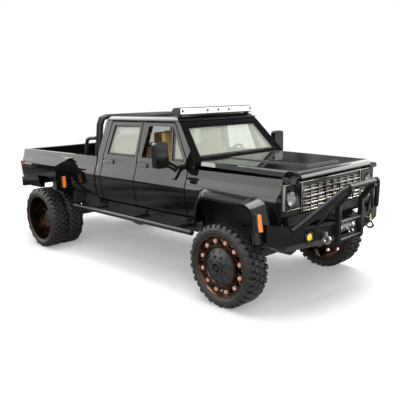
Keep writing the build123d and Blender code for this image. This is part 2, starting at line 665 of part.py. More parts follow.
def make_bumper():
    """Front bumper: a deep plate with swept wings, its lower face tucked back."""
    body = from_above(bumper_plan(), (BUMPER_FOLD, 17.5))
    low, high = Pos(0, 0, BUMPER_BOTTOM) * bumper_plan(BUMPER_TUCK), Pos(0, 0, BUMPER_FOLD) * bumper_plan()
    body += loft([low, high], ruled=True)
    top = [(-18, 18), (-18, 17.3), (-15.3, 16.9), (-13, 16.1), (-6, BUMPER_TOP), (6, BUMPER_TOP), (13, 16.1),
           (15.3, 16.9), (18, 17.3), (18, 18)]
    bottom = [(-18, 11), (-18, 13.8), (-15.3, BUMPER_BOTTOM), (15.3, BUMPER_BOTTOM), (18, 13.8), (18, 11)]
    for cut in (top, bottom):
        body -= from_front(outline(cut), (5, 17))
    body -= block((12, 17), (-WINCH_BAY, WINCH_BAY), (WINCH_TRAY, 18))
    recess = facing_fog() * Cylinder(FOG_RADIUS + 0.35, 2 * FOG_RECESS)
    return body - recess - flipped(recess)


def facing_fog():
    """Place on the bumper's face in front of the left fog lamp, its Z square to the face."""
    y, z = FOG_CENTRE
    turn = math.degrees(math.atan2(WING_INNER[0] - WING_CORNER[0], WING_CORNER[1] - WING_INNER[1]))
    return Pos(bumper_face_x(y), y, z) * Rot(0, 0, turn) * Rot(0, 90, 0)


def make_guard():
    """Brush guard: hoop, two upright plates, cross bars and thin braces."""
    x, z = GUARD_TOP
    ex, ey, ez = GUARD_ELBOW
    fx, fy, fz = GUARD_FOOT
    hoop = bent_tube([(fx, -fy, fz), (ex, -ey, ez), (ex, ey, ez), (fx, fy, fz)], GUARD_TUBE, 1.2)
    plate = outline([(15.1, BUMPER_BOTTOM + 0.1), (16.0, BUMPER_BOTTOM + 0.1), (16.1, 19.4), (18.5, 22.2),
                     (18.2, ez), (17.5, 22.7), (15.2, 19.8)])
    guard = hoop
    for side in (-1, 1):
        guard += bar_across(COLLAR_RADIUS, sorted((side * (UPRIGHT_Y + 0.5), side * (UPRIGHT_Y + 1.1))), x, z)
    for y in (-UPRIGHT_Y, UPRIGHT_Y):
        guard += from_side(plate, (y - UPRIGHT_WIDTH / 2, y + UPRIGHT_WIDTH / 2))
    for height in (12.7, 16.0):
        guard += bar_across(0.4, (-UPRIGHT_Y, UPRIGHT_Y), 15.6, height)
    for foot in ((13.5, 12.3, 16.2), (14.2, 9.0, 16.0)):
        for side in (-1, 1):
            guard += rod((17.9, side * UPRIGHT_Y, 22.3), (foot[0], side * foot[1], foot[2]), 0.25)
    return guard - make_bumper()


def make_winch():
    """Winch drum between two end housings."""
    drum = bar_across(0.8, (-2.0, 2.0), *WINCH_AXIS)
    for y in (-2.5, 2.5):
        drum += bar_across(1.15, (y - 0.6, y + 0.6), *WINCH_AXIS)
    return drum


def bumper_face_x(y):
    """Station of the bumper's front face at a distance from the middle."""
    (x0, y0), (x1, y1) = WING_INNER, WING_CORNER
    return x0 + (x1 - x0) * (y - y0) / (y1 - y0)


def make_fog_lamp():
    back, face = PANEL_GAP / 10 - FOG_RECESS, FOG_STANDS
    return facing_fog() * Pos(0, 0, (back + face) / 2) * Cylinder(FOG_RADIUS, face - back)


def make_shackle():
    """Left tow shackle: a tab on the bumper's face and a flat loop hanging in it."""
    y = 7.7
    x = bumper_face_x(y)
    tab = block((x + 0.1, x + 1.1), (y - 0.25, y + 0.25), (14.1, 15.1))
    loop = Pos(x + 1.0, y, 13.7) * Rot(90, 0, 0) * (Cylinder(0.85, 0.36) - Cylinder(0.45, 1))
    return tab + loop


# Load bed


def make_bed():
    """Load bed: double sides, floor, front wall, wheel tubs, rear arches and the sweep ahead of them."""
    far = BODY_SIDE + 2
    solid = from_front(body_face(), (BED_REAR, BED_FRONT)) & block((BED_REAR, BED_FRONT), (-far, far), (0, BED_RAIL))
    length, width = (BED_REAR - 1, BED_FRONT - BED_WALL), (-BED_INNER, BED_INNER)
    load = block(length, width, (BED_FLOOR, BED_RAIL + 1))
    under = block(length, width, (ROCKER_BOTTOM - 1, BED_FLOOR - SKIN))
    gate_half = BED_INNER + TAILGATE_GAP
    gate = block((BED_REAR - 1, BED_REAR + TAILGATE_THICKNESS + TAILGATE_GAP), (-gate_half, gate_half),
                 (TAILGATE_BOTTOM - TAILGATE_GAP, BED_RAIL + 1))
    bed = solid - load - under - gate
    x0, x1 = REAR_AXLE - ARCH_REACH, REAR_AXLE + ARCH_REACH
    arch = outline([(x0 + 0.6, 12), (x0 + 1.2, 18.0), (x0 + 2.8, ARCH_TOP), (x1 - 2.8, ARCH_TOP),
                    (x1 - 1.2, 18.0), (x1 - 0.6, 12)])
    start, middle, end, front = SWEEP
    below = Polyline(end, front, (front[0], 12), (start[0] - 1, 12), start)
    sweep_up = make_face([ThreePointArc(start, middle, end), below])
    for side in (-1, 1):
        tub = block((x0, x1), sorted((side * TUB_INNER, side * BED_INNER)), (BED_FLOOR - SKIN, TUB_TOP))
        bed += tub
        bed -= from_side(arch, sorted((side * (TUB_INNER + 0.7), side * far)))
        bed -= from_side(sweep_up, sorted((side * BED_INNER, side * far)))
    rear_cut = outline([(REAR_AXLE - 9, 13), (BED_REAR - 1, 13), (BED_REAR - 1, 14.6), (REAR_AXLE - 9, 14.6)])
    return bed - from_side(rear_cut, (-far, far))


def make_tailgate():
    return block((BED_REAR, BED_REAR + TAILGATE_THICKNESS), (-BED_INNER, BED_INNER), (TAILGATE_BOTTOM, BED_RAIL))


def make_rear_flare():
    """Left rear flare: a boxy pod over the dual tyres, tapered at the rear, with an open arch."""
    root, outer, wall = BODY_SIDE, REAR_FLARE_OUTER, REAR_FLARE_WALL
    front, taper, rear = REAR_FLARE_FRONT, REAR_FLARE_TAPER, REAR_FLARE_REAR
    high, low = REAR_FLARE_TOP
    far = outer + 2
    plan = outline([(front, root - 2), (front, outer), (taper, outer), (rear, root), (rear, root - 2)])
    pod = from_above(plan, (REAR_FLARE_FOOT, high + 1))
    fall = (high - low) / (outer - root)
    above_deck = outline([(root - 2, high + 2 * fall), (far, low - 2 * fall), (far, high + 3), (root - 2, high + 3)])
    pod -= from_front(above_deck, (rear - 1, front + 1))
    cut = REAR_FLARE_CHAMFER
    front_bevel = outline([(front - cut, high + 0.2), (front + 1, low - cut - 1), (front + 1, high + 0.2)])
    pod -= from_side(front_bevel, (root - 2, far))
    inside = outline([(front - wall, root - 2), (front - wall, outer - wall), (taper - wall / 2, outer - wall),
                      (rear + wall * 1.5, root - 2)])
    hollow = from_above(inside, (REAR_FLARE_FOOT - 2, REAR_FLARE_LIP + 1.6))
    foot, lip = REAR_FLARE_FOOT - 3, REAR_FLARE_LIP
    arch = outline([(front - 1.1, foot), (front - 1.2, lip - 2.3), (front - 2.2, lip - 0.7), (front - 4.5, lip),
                    (rear + 3.4, lip - 0.2), (rear + 1.6, lip - 1.1), (rear - 1, lip - 1.3), (rear - 1, foot)])
    return pod - hollow - from_side(arch, (root - 2, far)) - body_block()


def make_marker_lamps():
    """Left marker lamps, thin slabs that follow the front faces of both flares."""
    flare = flare_form()
    slab = Pos(LAMP_SLAB, 0, 0) * flare - Pos(0.02, 0, 0) * flare
    front = slab & block((6, 12), (17.5, 18.8), (15.9, 19.2))
    rear = block((REAR_FLARE_FRONT + 0.02, REAR_FLARE_FRONT + LAMP_SLAB), (17.3, 18.9), (16.9, 20.0))
    return Compound([*front.solids(), rear])


def make_roll_bar():
    """Roll bar behind the cab: two tubes side by side, and a short brace on each leg."""
    bar = None
    foot_z, top_y, top_z = BED_FLOOR + 0.1, ROLL_BAR_Y - 0.95, ROOF_TOP - 0.8
    for foot_x in (BED_FRONT - 2.45, BED_FRONT - 3.7):
        top_x = foot_x + ROLL_BAR_LEAN
        hoop = bent_tube([(foot_x, -ROLL_BAR_Y, foot_z), (top_x, -top_y, top_z), (top_x, top_y, top_z),
                          (foot_x, ROLL_BAR_Y, foot_z)], ROLL_BAR_RADIUS, 2.0)
        bar = hoop if bar is None else bar + hoop
    brace_x, brace_z = BED_FRONT - 7.8, BED_RAIL + 4.1
    for side in (-1, 1):
        bar += bent_tube([(brace_x, side * ROLL_BAR_Y, foot_z), (brace_x + 0.8, side * (ROLL_BAR_Y - 0.15), brace_z),
                          (BED_FRONT - 2.8, side * (ROLL_BAR_Y - 0.35), brace_z + 0.2)], ROLL_BAR_RADIUS * 0.9, 1.5)
    return bar


def make_tail_lamp():
    return block((BED_REAR - 0.65, BED_REAR - 0.05), (13.9, 15.4), (17.3, 22.0))


def make_rear_bumper():
    """Rear bumper: a deep bar with rounded ends, hung just behind the bed."""
    rear, front = REAR_REACH, BED_REAR - 0.6
    plan = outline([(rear, 1.2 - BODY_SIDE), (rear, BODY_SIDE - 1.2), (front, BODY_SIDE), (front, -BODY_SIDE)], 0.8)
    return from_above(plan, (TAILGATE_BOTTOM - 3.0, TAILGATE_BOTTOM - 0.3))


# Roof and side equipment


def make_light_bar():
    """Roof light bar on its two feet, and its lens."""
    top = ROOF_TOP + LIGHT_BAR_RISE
    front, rear = WINDSHIELD_TOP[0] - 1.2, WINDSHIELD_TOP[0] - 3.5
    housing = outline([(front, top - 1.55), (front, top), (front - 1.5, top), (rear, top - 0.6), (rear, top - 1.0),
                       (rear + 1, top - 1.55)])
    half = LIGHT_BAR_HALF_WIDTH
    bar = from_side(housing, (-half, half))
    for side in (-1, 1):
        feet = sorted((side * (half - 1.4), side * (half - 0.6)))
        bar += block((front - 1.3, front - 0.2), feet, (ROOF_END, top - 1.3))
    lens = block((front + 0.05, front + 0.35), (-half + 0.4, half - 0.4), (top - 1.35, top - 0.15))
    return bar - cab_form(-0.05), lens


def make_side_step():
    """Left side step: a tube on three brackets."""
    tube = bar_along(STEP_RADIUS, (-52.9, -9.2), STEP_Y, STEP_HEIGHT)
    for x in STEP_BRACKETS:
        tube += block((x - 0.6, x + 0.6), (RAIL_Y + RAIL_WIDTH / 2 + 0.05, STEP_Y),
                      (STEP_HEIGHT - 0.25, STEP_HEIGHT + 0.25))
    return tube


def bar_along(radius, x_range, y, z):
    """Round bar along X."""
    low, high = x_range
    return Pos((low + high) / 2, y, z) * Rot(0, 90, 0) * Cylinder(radius, high - low)


# Interior


def make_tub():
    """Floor pan with its tunnel."""
    pan = block((-43.3, -12.2), (-PAN_HALF_WIDTH, PAN_HALF_WIDTH), (FLOOR_TOP + 0.05, FLOOR_TOP + 0.6))
    return pan + block((-30, -13), (-1.8, 1.8), (FLOOR_TOP + 0.3, FLOOR_TOP + 2.0))


def make_seat(x_front, y_range, base):
    """Seat seen from the side: cushion and leaning back, with a narrower headrest."""
    side = outline([(x_front, base), (x_front + 0.3, base + 3.6), (x_front - 4.6, base + 3.0),
                    (x_front - 6.4, base + 11.2), (x_front - 8.0, base + 11.2), (x_front - 7.0, base)], 0.5)
    return from_side(side, y_range)


def make_dashboard():
    side = outline([(-12.3, 20.5), (-12.3, 26.2), (-13.2, 26.9), (-16.0, 26.6), (-16.6, 24.0), (-15.2, 20.5)])
    return from_side(side, (-13.0, 13.0))


def make_steering_wheel():
    """Wheel on its column, leaning towards the driver."""
    place = Pos(-18.3, 6.2, 26.2) * Rot(0, -60, 0)
    wheel = place * (Cylinder(2.2, 0.4) - Cylinder(1.8, 1)) + place * Box(0.5, 3.8, 0.3) + place * Cylinder(0.5, 0.6)
    column = rod((-18.3, 6.2, 26.2), (-16.45, 6.2, 25.1), 0.3)
    return wheel + column


# Chassis


def make_frame():
    """Ladder frame: two rails, cross members and the two screw bosses."""
    frame = None
    for side in (-1, 1):
        edges = sorted((side * (RAIL_Y - RAIL_WIDTH / 2), side * (RAIL_Y + RAIL_WIDTH / 2)))
        rail = block((FRAME_REAR, FRAME_FRONT), edges, (RAIL_BOTTOM, RAIL_TOP))
        frame = rail if frame is None else frame + rail
    for x in (FRAME_FRONT - 0.8, *CROSS_MEMBERS):
        frame += block((x - 0.7, x + 0.7), (-RAIL_Y, RAIL_Y), (RAIL_BOTTOM + 0.2, RAIL_TOP))
    for x in SCREW_STATIONS:
        frame += block((x - 1.6, x + 1.6), (-RAIL_Y, RAIL_Y), (RAIL_TOP - 0.9, RAIL_TOP))
        frame += Pos(x, 0, (RAIL_TOP + RAIL_BOTTOM - 2.2) / 2) * Cylinder(SCREW_BOSS, RAIL_TOP - RAIL_BOTTOM + 2.2)
        frame -= Pos(x, 0, RAIL_BOTTOM - 2.2 + SCREW_DEPTH / 2) * Cylinder(SCREW_BORE, SCREW_DEPTH)
    return frame


def make_axle_housing(station, half_length, radius):
    """Axle housing with its differential, bored for the pin."""
    tube = bar_across(radius, (-half_length, half_length), station, AXLE_HEIGHT)
    case = Pos(station, 1.5, AXLE_HEIGHT) * Rot(0, 90, 0) * Cylinder(2.1, 2.6)
    cover = Pos(station, 1.5, AXLE_HEIGHT) * Rot(0, 90, 0) * Cylinder(1.5, 4.0)
    tube += case + cover
    for side in (-1, 1):
        tube += block((station - 0.9, station + 0.9), sorted((side * (RAIL_Y - 0.7), side * (RAIL_Y + 0.7))),
                      (AXLE_HEIGHT, AXLE_HEIGHT + 1.6))
    return tube - bar_across(PIN_RADIUS + PIN_CLEARANCE, (-half_length - 1, half_length + 1), station, AXLE_HEIGHT)


def make_springs(station):
    """Leaf springs of one axle: a bowed pack under each rail with its eyes."""
    packs = None
    eye_z, top_z, bottom_z = RAIL_BOTTOM - 0.05, AXLE_HEIGHT + 2.4, AXLE_HEIGHT + 1.65
    half_top = [(SPRING_REACH, eye_z), (SPRING_REACH - 1, eye_z), (1.0, top_z)]
    points = [(station - x, z) for x, z in half_top] + [(station + x, z) for x, z in reversed(half_top)]
    bow = outline([*points, (station + 1.2, bottom_z), (station - 1.2, bottom_z)])
    for side in (-1, 1):
        low, high = sorted((side * (RAIL_Y - 0.5), side * (RAIL_Y + 0.5)))
        leaf = from_side(bow, (low, high))
        packs = leaf if packs is None else packs + leaf
    return packs


def make_shocks():
    """Shock absorbers of both axles: a leaning body under the rail and its thinner rod."""
    shocks = []
    for station, housing in ((0.0, FRONT_HOUSING), (REAR_AXLE, REAR_HOUSING)):
        low = (station + 1.0, RAIL_Y + 1.5, AXLE_HEIGHT + housing[1] + 0.5)
        high = (station + 2.6, RAIL_Y + 1.5, RAIL_TOP - 0.2)
        middle = tuple((a + b) / 2 for a, b in zip(low, high))
        shocks += [*(rod(low, middle, SHOCK_RADIUS) + rod(middle, high, SHOCK_RADIUS * 0.6)).solids()]
    return Compound(shocks)


def make_driveline():
    """Gearbox and transfer case with the two drive shafts."""
    line = block((-16.0, -6.6), (-2.0, 2.0), (RAIL_BOTTOM - 1.7, RAIL_BOTTOM + 0.1))
    line += block((-21.0, -16.0), (-1.6, 3.4), (RAIL_BOTTOM - 2.5, RAIL_BOTTOM + 0.1))
    line += rod((-16.5, 2.7, 10.0), (-1.9, 2.0, 8.6), 0.3)
    line += rod((-20.5, 0.0, 10.6), (REAR_AXLE + 1.9, 1.0, 8.7), 0.35)
    housings = [make_axle_housing(0.0, *FRONT_HOUSING), make_axle_housing(REAR_AXLE, *REAR_HOUSING)]
    return line - housings[0] - housings[1]


def make_engine():
    return block((-6.2, 4.5), (-4.6, 4.6), (12.5, 22.5))


def make_tank():
    tank = block((-56.0, -46.8), (8.0, 12.6), (9.8, 13.5))
    return fillet(tank.edges().filter_by(Axis.X), 0.6)


def make_exhaust():
    """Exhaust along the right side: pipe, silencer and tail pipe."""
    tail = REAR_AXLE - 10.7
    pipe = bent_tube([(-9, -3.4, 10.6), (-20, -4.4, 11.1), (tail, -4.6, 11.1), (tail - 4.0, -9.0, 11.1),
                      (tail - 6.5, -12.5, 11.1)], 0.5, 1.0)
    return pipe + bar_along(1.15, (-38, -28), -4.4, 10.6)


# Wheels


def tyre_profile(width):
    """Half section of a tyre about its axle, from bead to tread."""
    half = width / 2
    return outline([(RIM_RADIUS, -half + 0.1), (TYRE_RADIUS - TYRE_SHOULDER, -half), (TYRE_RADIUS, -half + 0.6),
                    (TYRE_RADIUS, half - 0.6), (TYRE_RADIUS - TYRE_SHOULDER, half), (RIM_RADIUS, half - 0.1)])





def make_tyre(station, centre_y, width):
    """Tyre with a row of slanting lugs all round."""
    ring = revolve(tyre_profile(width), Axis.Y)
    slot = Pos(0, 0, TYRE_RADIUS) * Rot(0, 0, LUG_SKEW) * Box(LUG_GAP, width * 1.5, 2 * LUG_DEPTH)
    slots = [Rot(0, 360 * lug / LUG_COUNT, 0) * slot for lug in range(LUG_COUNT)]
    return Pos(station, centre_y, AXLE_HEIGHT) * (ring - slots)


def make_front_rim():
    """Front wheel: thin lip, a windowed face round a raised ring, and a domed hub with its cap."""
    barrel = RIM_RADIUS - SEAT_CLEARANCE
    half = FRONT_TYRE_WIDTH / 2
    lip = half - RIM_RECESS
    bore = PIN_RADIUS + SEAT_CLEARANCE
    section = outline([(bore, -1.2), (bore, lip + 0.8), (1.0, lip + 0.8), (1.25, lip + 0.25), (3.5, lip - 0.45),
                       (3.7, lip), (4.0, lip), (4.15, lip - 0.6), (barrel - 0.55, lip - 0.6),
                       (barrel - RIM_WALL, lip), (barrel, lip), (barrel, -half + 0.5),
                       (barrel - RIM_WALL, -half + 0.5),
                       (barrel - RIM_WALL, lip - 1.4), (1.6, lip - 1.4), (1.6, -1.2)])
    rim = revolve(section, Axis.Y)
    window = Pos(0, lip, WINDOW_RING) * Rot(90, 0, 0) * extrude(RegularPolygon(WINDOW_SIZE, 6), amount=3, both=True)
    return rim - [Rot(0, 360 * place / WINDOW_COUNT, 0) * window for place in range(WINDOW_COUNT)]


def make_rear_rim():
    """Dual rear wheel of the left side: deep outer dish, hub and inner wheel, about its own centre."""
    barrel = RIM_RADIUS - SEAT_CLEARANCE
    outer_lip = REAR_TRACK_OUTER - RIM_RECESS
    inner_edge = REAR_TRACK_OUTER - 2 * REAR_TYRE_WIDTH - DUAL_GAP + 0.4
    disc = REAR_TRACK_OUTER - REAR_TYRE_WIDTH - DUAL_GAP / 2
    bore = PIN_RADIUS + SEAT_CLEARANCE
    section = outline([(bore, disc - 2.2), (bore, disc + 1.6), (1.5, disc + 1.6), (1.7, disc + 0.4),
                       (barrel - RIM_WALL, disc + 0.4), (barrel - RIM_WALL, outer_lip), (barrel, outer_lip),
                       (barrel, inner_edge), (barrel - RIM_WALL, inner_edge), (barrel - RIM_WALL, disc - 0.4),
                       (1.6, disc - 0.4),
                       (1.6, disc - 2.2)])
    return revolve(section, Axis.Y)


def make_pin(station, reach):
    return bar_across(PIN_RADIUS, (-reach, reach), station, AXLE_HEIGHT)


def main():
    os.makedirs("parts", exist_ok=True)

    save("cab_shell", make_cab_shell())
    front_door, rear_door = make_doors()
    vent_glass, rear_glass = make_side_glass()
    mirror_left = make_mirror()
    pairs = {
        "front_door": front_door,
        "rear_door": rear_door,
        "vent_glass": vent_glass,
        "rear_door_glass": rear_glass,
        "mirror": mirror_left,
    }
    for name, shape in pairs.items():
        save(f"{name}_left", shape)
        save(f"{name}_right", flipped(shape))

    save("front_fenders", both_sides(make_fender()))
    save("front_flares", both_sides(make_front_flare()))
    save("rear_flares", both_sides(make_rear_flare()))
    save("marker_lamps", both_sides(make_marker_lamps()))
    save("side_steps", both_sides(make_side_step()))
    windshield, rear_window = make_end_glass()
    save("windshield", windshield)
    save("rear_window", rear_window)
    save("hood", make_hood())
    save("front_panel", make_front_panel())
    grille_back, grille_bars = make_grille()
    save("grille_back", grille_back)
    save("grille_bars", Compound([*grille_bars.solids(), *make_trim().solids()]))
    bezel, lamp = make_headlamps()
    save("headlamp_bezels", both_sides(bezel))
    save("headlamps", both_sides(lamp))
    save("front_bumper", make_bumper())
    save("brush_guard", make_guard())
    save("winch", make_winch())
    save("fog_lamps", both_sides(make_fog_lamp()))
    save("shackles", both_sides(make_shackle()))
    save("cargo_bed", make_bed())
    save("tailgate", make_tailgate())
    save("roll_bar", make_roll_bar())
    save("tail_lamps", both_sides(make_tail_lamp()))
    save("rear_bumper", make_rear_bumper())
    light_bar, light_lens = make_light_bar()
    save("light_bar", light_bar)
    save("light_bar_lens", light_lens)
    save("floor_pan", make_tub())
    save("front_seats", both_sides(make_seat(-18.6, (1.9, 10.2), FLOOR_TOP + 0.65)))
    save("rear_bench", make_seat(-34.6, (-11.0, 11.0), FLOOR_TOP + 0.65))
    save("dashboard", make_dashboard())
    save("steering_wheel", make_steering_wheel())
    save("chassis_frame", make_frame())
    save("front_axle_housing", make_axle_housing(0.0, *FRONT_HOUSING))
    save("rear_axle_housing", make_axle_housing(REAR_AXLE, *REAR_HOUSING))
    save("leaf_springs", Compound([*make_springs(0.0).solids(), *make_springs(REAR_AXLE).solids()]))
    save("shock_absorbers", both_sides(make_shocks()))
    save("driveline", make_driveline())
    save("engine_block", make_engine())
    save("fuel_tank", make_tank())
    save("exhaust", make_exhaust())

    save("front_axle_pin", make_pin(0.0, FRONT_TRACK_OUTER - 2))
    save("rear_axle_pin", make_pin(REAR_AXLE, REAR_TRACK_OUTER - 4))
    front_centre = FRONT_TRACK_OUTER - FRONT_TYRE_WIDTH / 2
    front_rim = Pos(0, front_centre, AXLE_HEIGHT) * make_front_rim()
    rear_rim = Pos(REAR_AXLE, 0, AXLE_HEIGHT) * make_rear_rim()
    for side, turn in (("left", lambda shape: shape), ("right", flipped)):
        save(f"front_tyre_{side}", turn(make_tyre(0.0, front_centre, FRONT_TYRE_WIDTH)))
        save(f"front_rim_{side}", turn(front_rim))
        save(f"rear_rim_{side}", turn(rear_rim))
        outer_centre = REAR_TRACK_OUTER - REAR_TYRE_WIDTH / 2
        duals = [make_tyre(REAR_AXLE, outer_centre - place * (REAR_TYRE_WIDTH + DUAL_GAP), REAR_TYRE_WIDTH)
                 for place in range(2)]
        save(f"rear_tyres_{side}", turn(Compound(duals)))


main()
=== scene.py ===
"""Looks of a lifted crew cab pickup with dual rear wheels, a 1:64 model.

Metres, as in the frame: +X is forward, +Y is the driver's left, +Z is up, and the tyres stand on Z = 0.
Sizes in the classes are millimetres, because the model is small, and their stations are measured from the
front axle. A finished form is moved to the frame and turned into metres at once.
"""

import json
import logging
import math
from dataclasses import dataclass
from enum import Enum
from typing import Any, Iterable, Optional, Sequence, Union

import bmesh
import bpy
from mathutils import Matrix, Vector


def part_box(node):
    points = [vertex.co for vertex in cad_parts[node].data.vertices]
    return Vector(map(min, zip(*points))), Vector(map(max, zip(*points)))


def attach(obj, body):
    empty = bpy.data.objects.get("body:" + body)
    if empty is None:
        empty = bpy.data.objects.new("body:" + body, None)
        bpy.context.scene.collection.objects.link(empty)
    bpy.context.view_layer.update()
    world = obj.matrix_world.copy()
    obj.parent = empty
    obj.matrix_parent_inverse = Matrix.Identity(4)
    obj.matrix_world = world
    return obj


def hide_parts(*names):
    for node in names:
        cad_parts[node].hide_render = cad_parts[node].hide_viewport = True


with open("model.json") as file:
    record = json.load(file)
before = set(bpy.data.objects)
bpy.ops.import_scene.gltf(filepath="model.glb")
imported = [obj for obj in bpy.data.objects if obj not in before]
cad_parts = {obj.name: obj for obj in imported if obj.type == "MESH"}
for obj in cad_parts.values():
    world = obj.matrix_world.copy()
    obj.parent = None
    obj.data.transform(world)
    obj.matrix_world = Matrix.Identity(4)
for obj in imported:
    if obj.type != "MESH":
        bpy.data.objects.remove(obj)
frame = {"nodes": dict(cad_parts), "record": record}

LOG = logging.getLogger("pickup")
MM = 0.001
NODES: dict[str, bpy.types.Object] = frame["nodes"]
RECORD: dict[str, Any] = frame["record"]
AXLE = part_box("front_axle_pin")
AXLE_X = (AXLE[0].x + AXLE[1].x) / 2 / MM
AXLE_HEIGHT = (AXLE[0].z + AXLE[1].z) / 2 / MM
REAR_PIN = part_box("rear_axle_pin")
REAR_AXLE = (REAR_PIN[0].x + REAR_PIN[1].x) / 2 / MM - AXLE_X
SIDES = {"left": 1, "right": -1}

Colour = tuple[float, float, float]
Point = Sequence[float]
Number = Union[float, "Socket"]

BODY_OF = {node: body for body, nodes in RECORD["behaviour"]["bodies"].items() for node in nodes}
ROOT = BODY_OF["cab_shell"]

# The truck's sides turn at a crease and at the shoulder over it. A lean is run inwards over rise.
BODY_HALF_WIDTH = 15.85
CREASE_HEIGHT = 21.5
SHOULDER_HEIGHT = 23.3
LEANS = {"lower": -0.136, "shoulder": 0.428, "belt": 0.204}
BODY_CREASES = (
    # height, half height of the rounding, turn of the side there
    (CREASE_HEIGHT, 1.15, LEANS["shoulder"] - LEANS["lower"]),
    (SHOULDER_HEIGHT, 0.6, LEANS["belt"] - LEANS["shoulder"]),
)
CREASE_STEPS = 4
SIDE_TOLERANCE = 0.03

# Points this near are one, in millimetres, and faces this flat, in degrees, are one.
MERGE_DISTANCE = 0.004
POINT_TOLERANCE = 1e-4
FLAT_ANGLE = 0.6

# Marks that break up the finishes: sizes in millimetres, and shares of the marks' depth.
DRIFT_SIZE = 5.0
PEEL_SIZE = 0.9
PEEL_SHARE = 0.02
WAVE_SIZE = 8.0
CAST_SIZE = 0.22
BRUSH_SIZE = 0.5
BRUSH_STRETCH = (0.1, 4.0, 4.0)
CHANNEL_PITCH = 1.25
CLOTH_SIZE = 0.3
CLOTH_SHARE = 0.15
COAT_ROUGHNESS = 0.02

# Distances of the tyres' middles from the truck's middle, and the width of one tyre.
FRONT_TYRES = (16.725,)
FRONT_TYRE_WIDTH = 5.35
REAR_TYRES = (18.75, 13.95)
REAR_TYRE_WIDTH = 4.5


class Socket:
    """A shader socket that takes part in Python expressions.

    Each operator adds a Math node, so that a mask is written as the sum that it is.
    """

    def __init__(self, tree: bpy.types.NodeTree, socket: bpy.types.NodeSocket) -> None:
        """Wrap one socket of a node tree."""
        self.tree = tree
        self.socket = socket

    def _math(self, operation: str, *values: Number) -> "Socket":
        """Add one Math node.

        Args:
            operation: The node's operation.
            *values: Sockets or numbers for its inputs, in order.

        Returns:
            The node's output.
        """
        node = self.tree.nodes.new("ShaderNodeMath")
        node.operation = operation
        for place, value in enumerate(values):
            if isinstance(value, Socket):
                self.tree.links.new(value.socket, node.inputs[place])
            else:
                node.inputs[place].default_value = value
        return Socket(self.tree, node.outputs[0])

    def __add__(self, other: Number) -> "Socket":
        """This value and another together."""
        return self._math("ADD", self, other)

    __radd__ = __add__

    def __sub__(self, other: Number) -> "Socket":
        """This value less another."""
        return self._math("SUBTRACT", self, other)

    def __rsub__(self, other: Number) -> "Socket":
        """Another value less this one."""
        return self._math("SUBTRACT", other, self)

    def __mul__(self, other: Number) -> "Socket":
        """This value times another."""
        return self._math("MULTIPLY", self, other)

    __rmul__ = __mul__

    def __truediv__(self, other: Number) -> "Socket":
        """This value over another."""
        return self._math("DIVIDE", self, other)

    def __lt__(self, other: Number) -> "Socket":
        """1 where this value is below another, otherwise 0."""
        return self._math("LESS_THAN", self, other)

    def __abs__(self) -> "Socket":
        """This value without its sign."""
        return self._math("ABSOLUTE", self)

    def clamped(self) -> "Socket":
        """The value held between 0 and 1."""
        return self._math("MINIMUM", self._math("MAXIMUM", self, 0.0), 1.0)

    def root(self) -> "Socket":
        """Square root."""
        return self._math("SQRT", self)

    def sine(self) -> "Socket":
        """Sine of the value in radians."""
        return self._math("SINE", self)


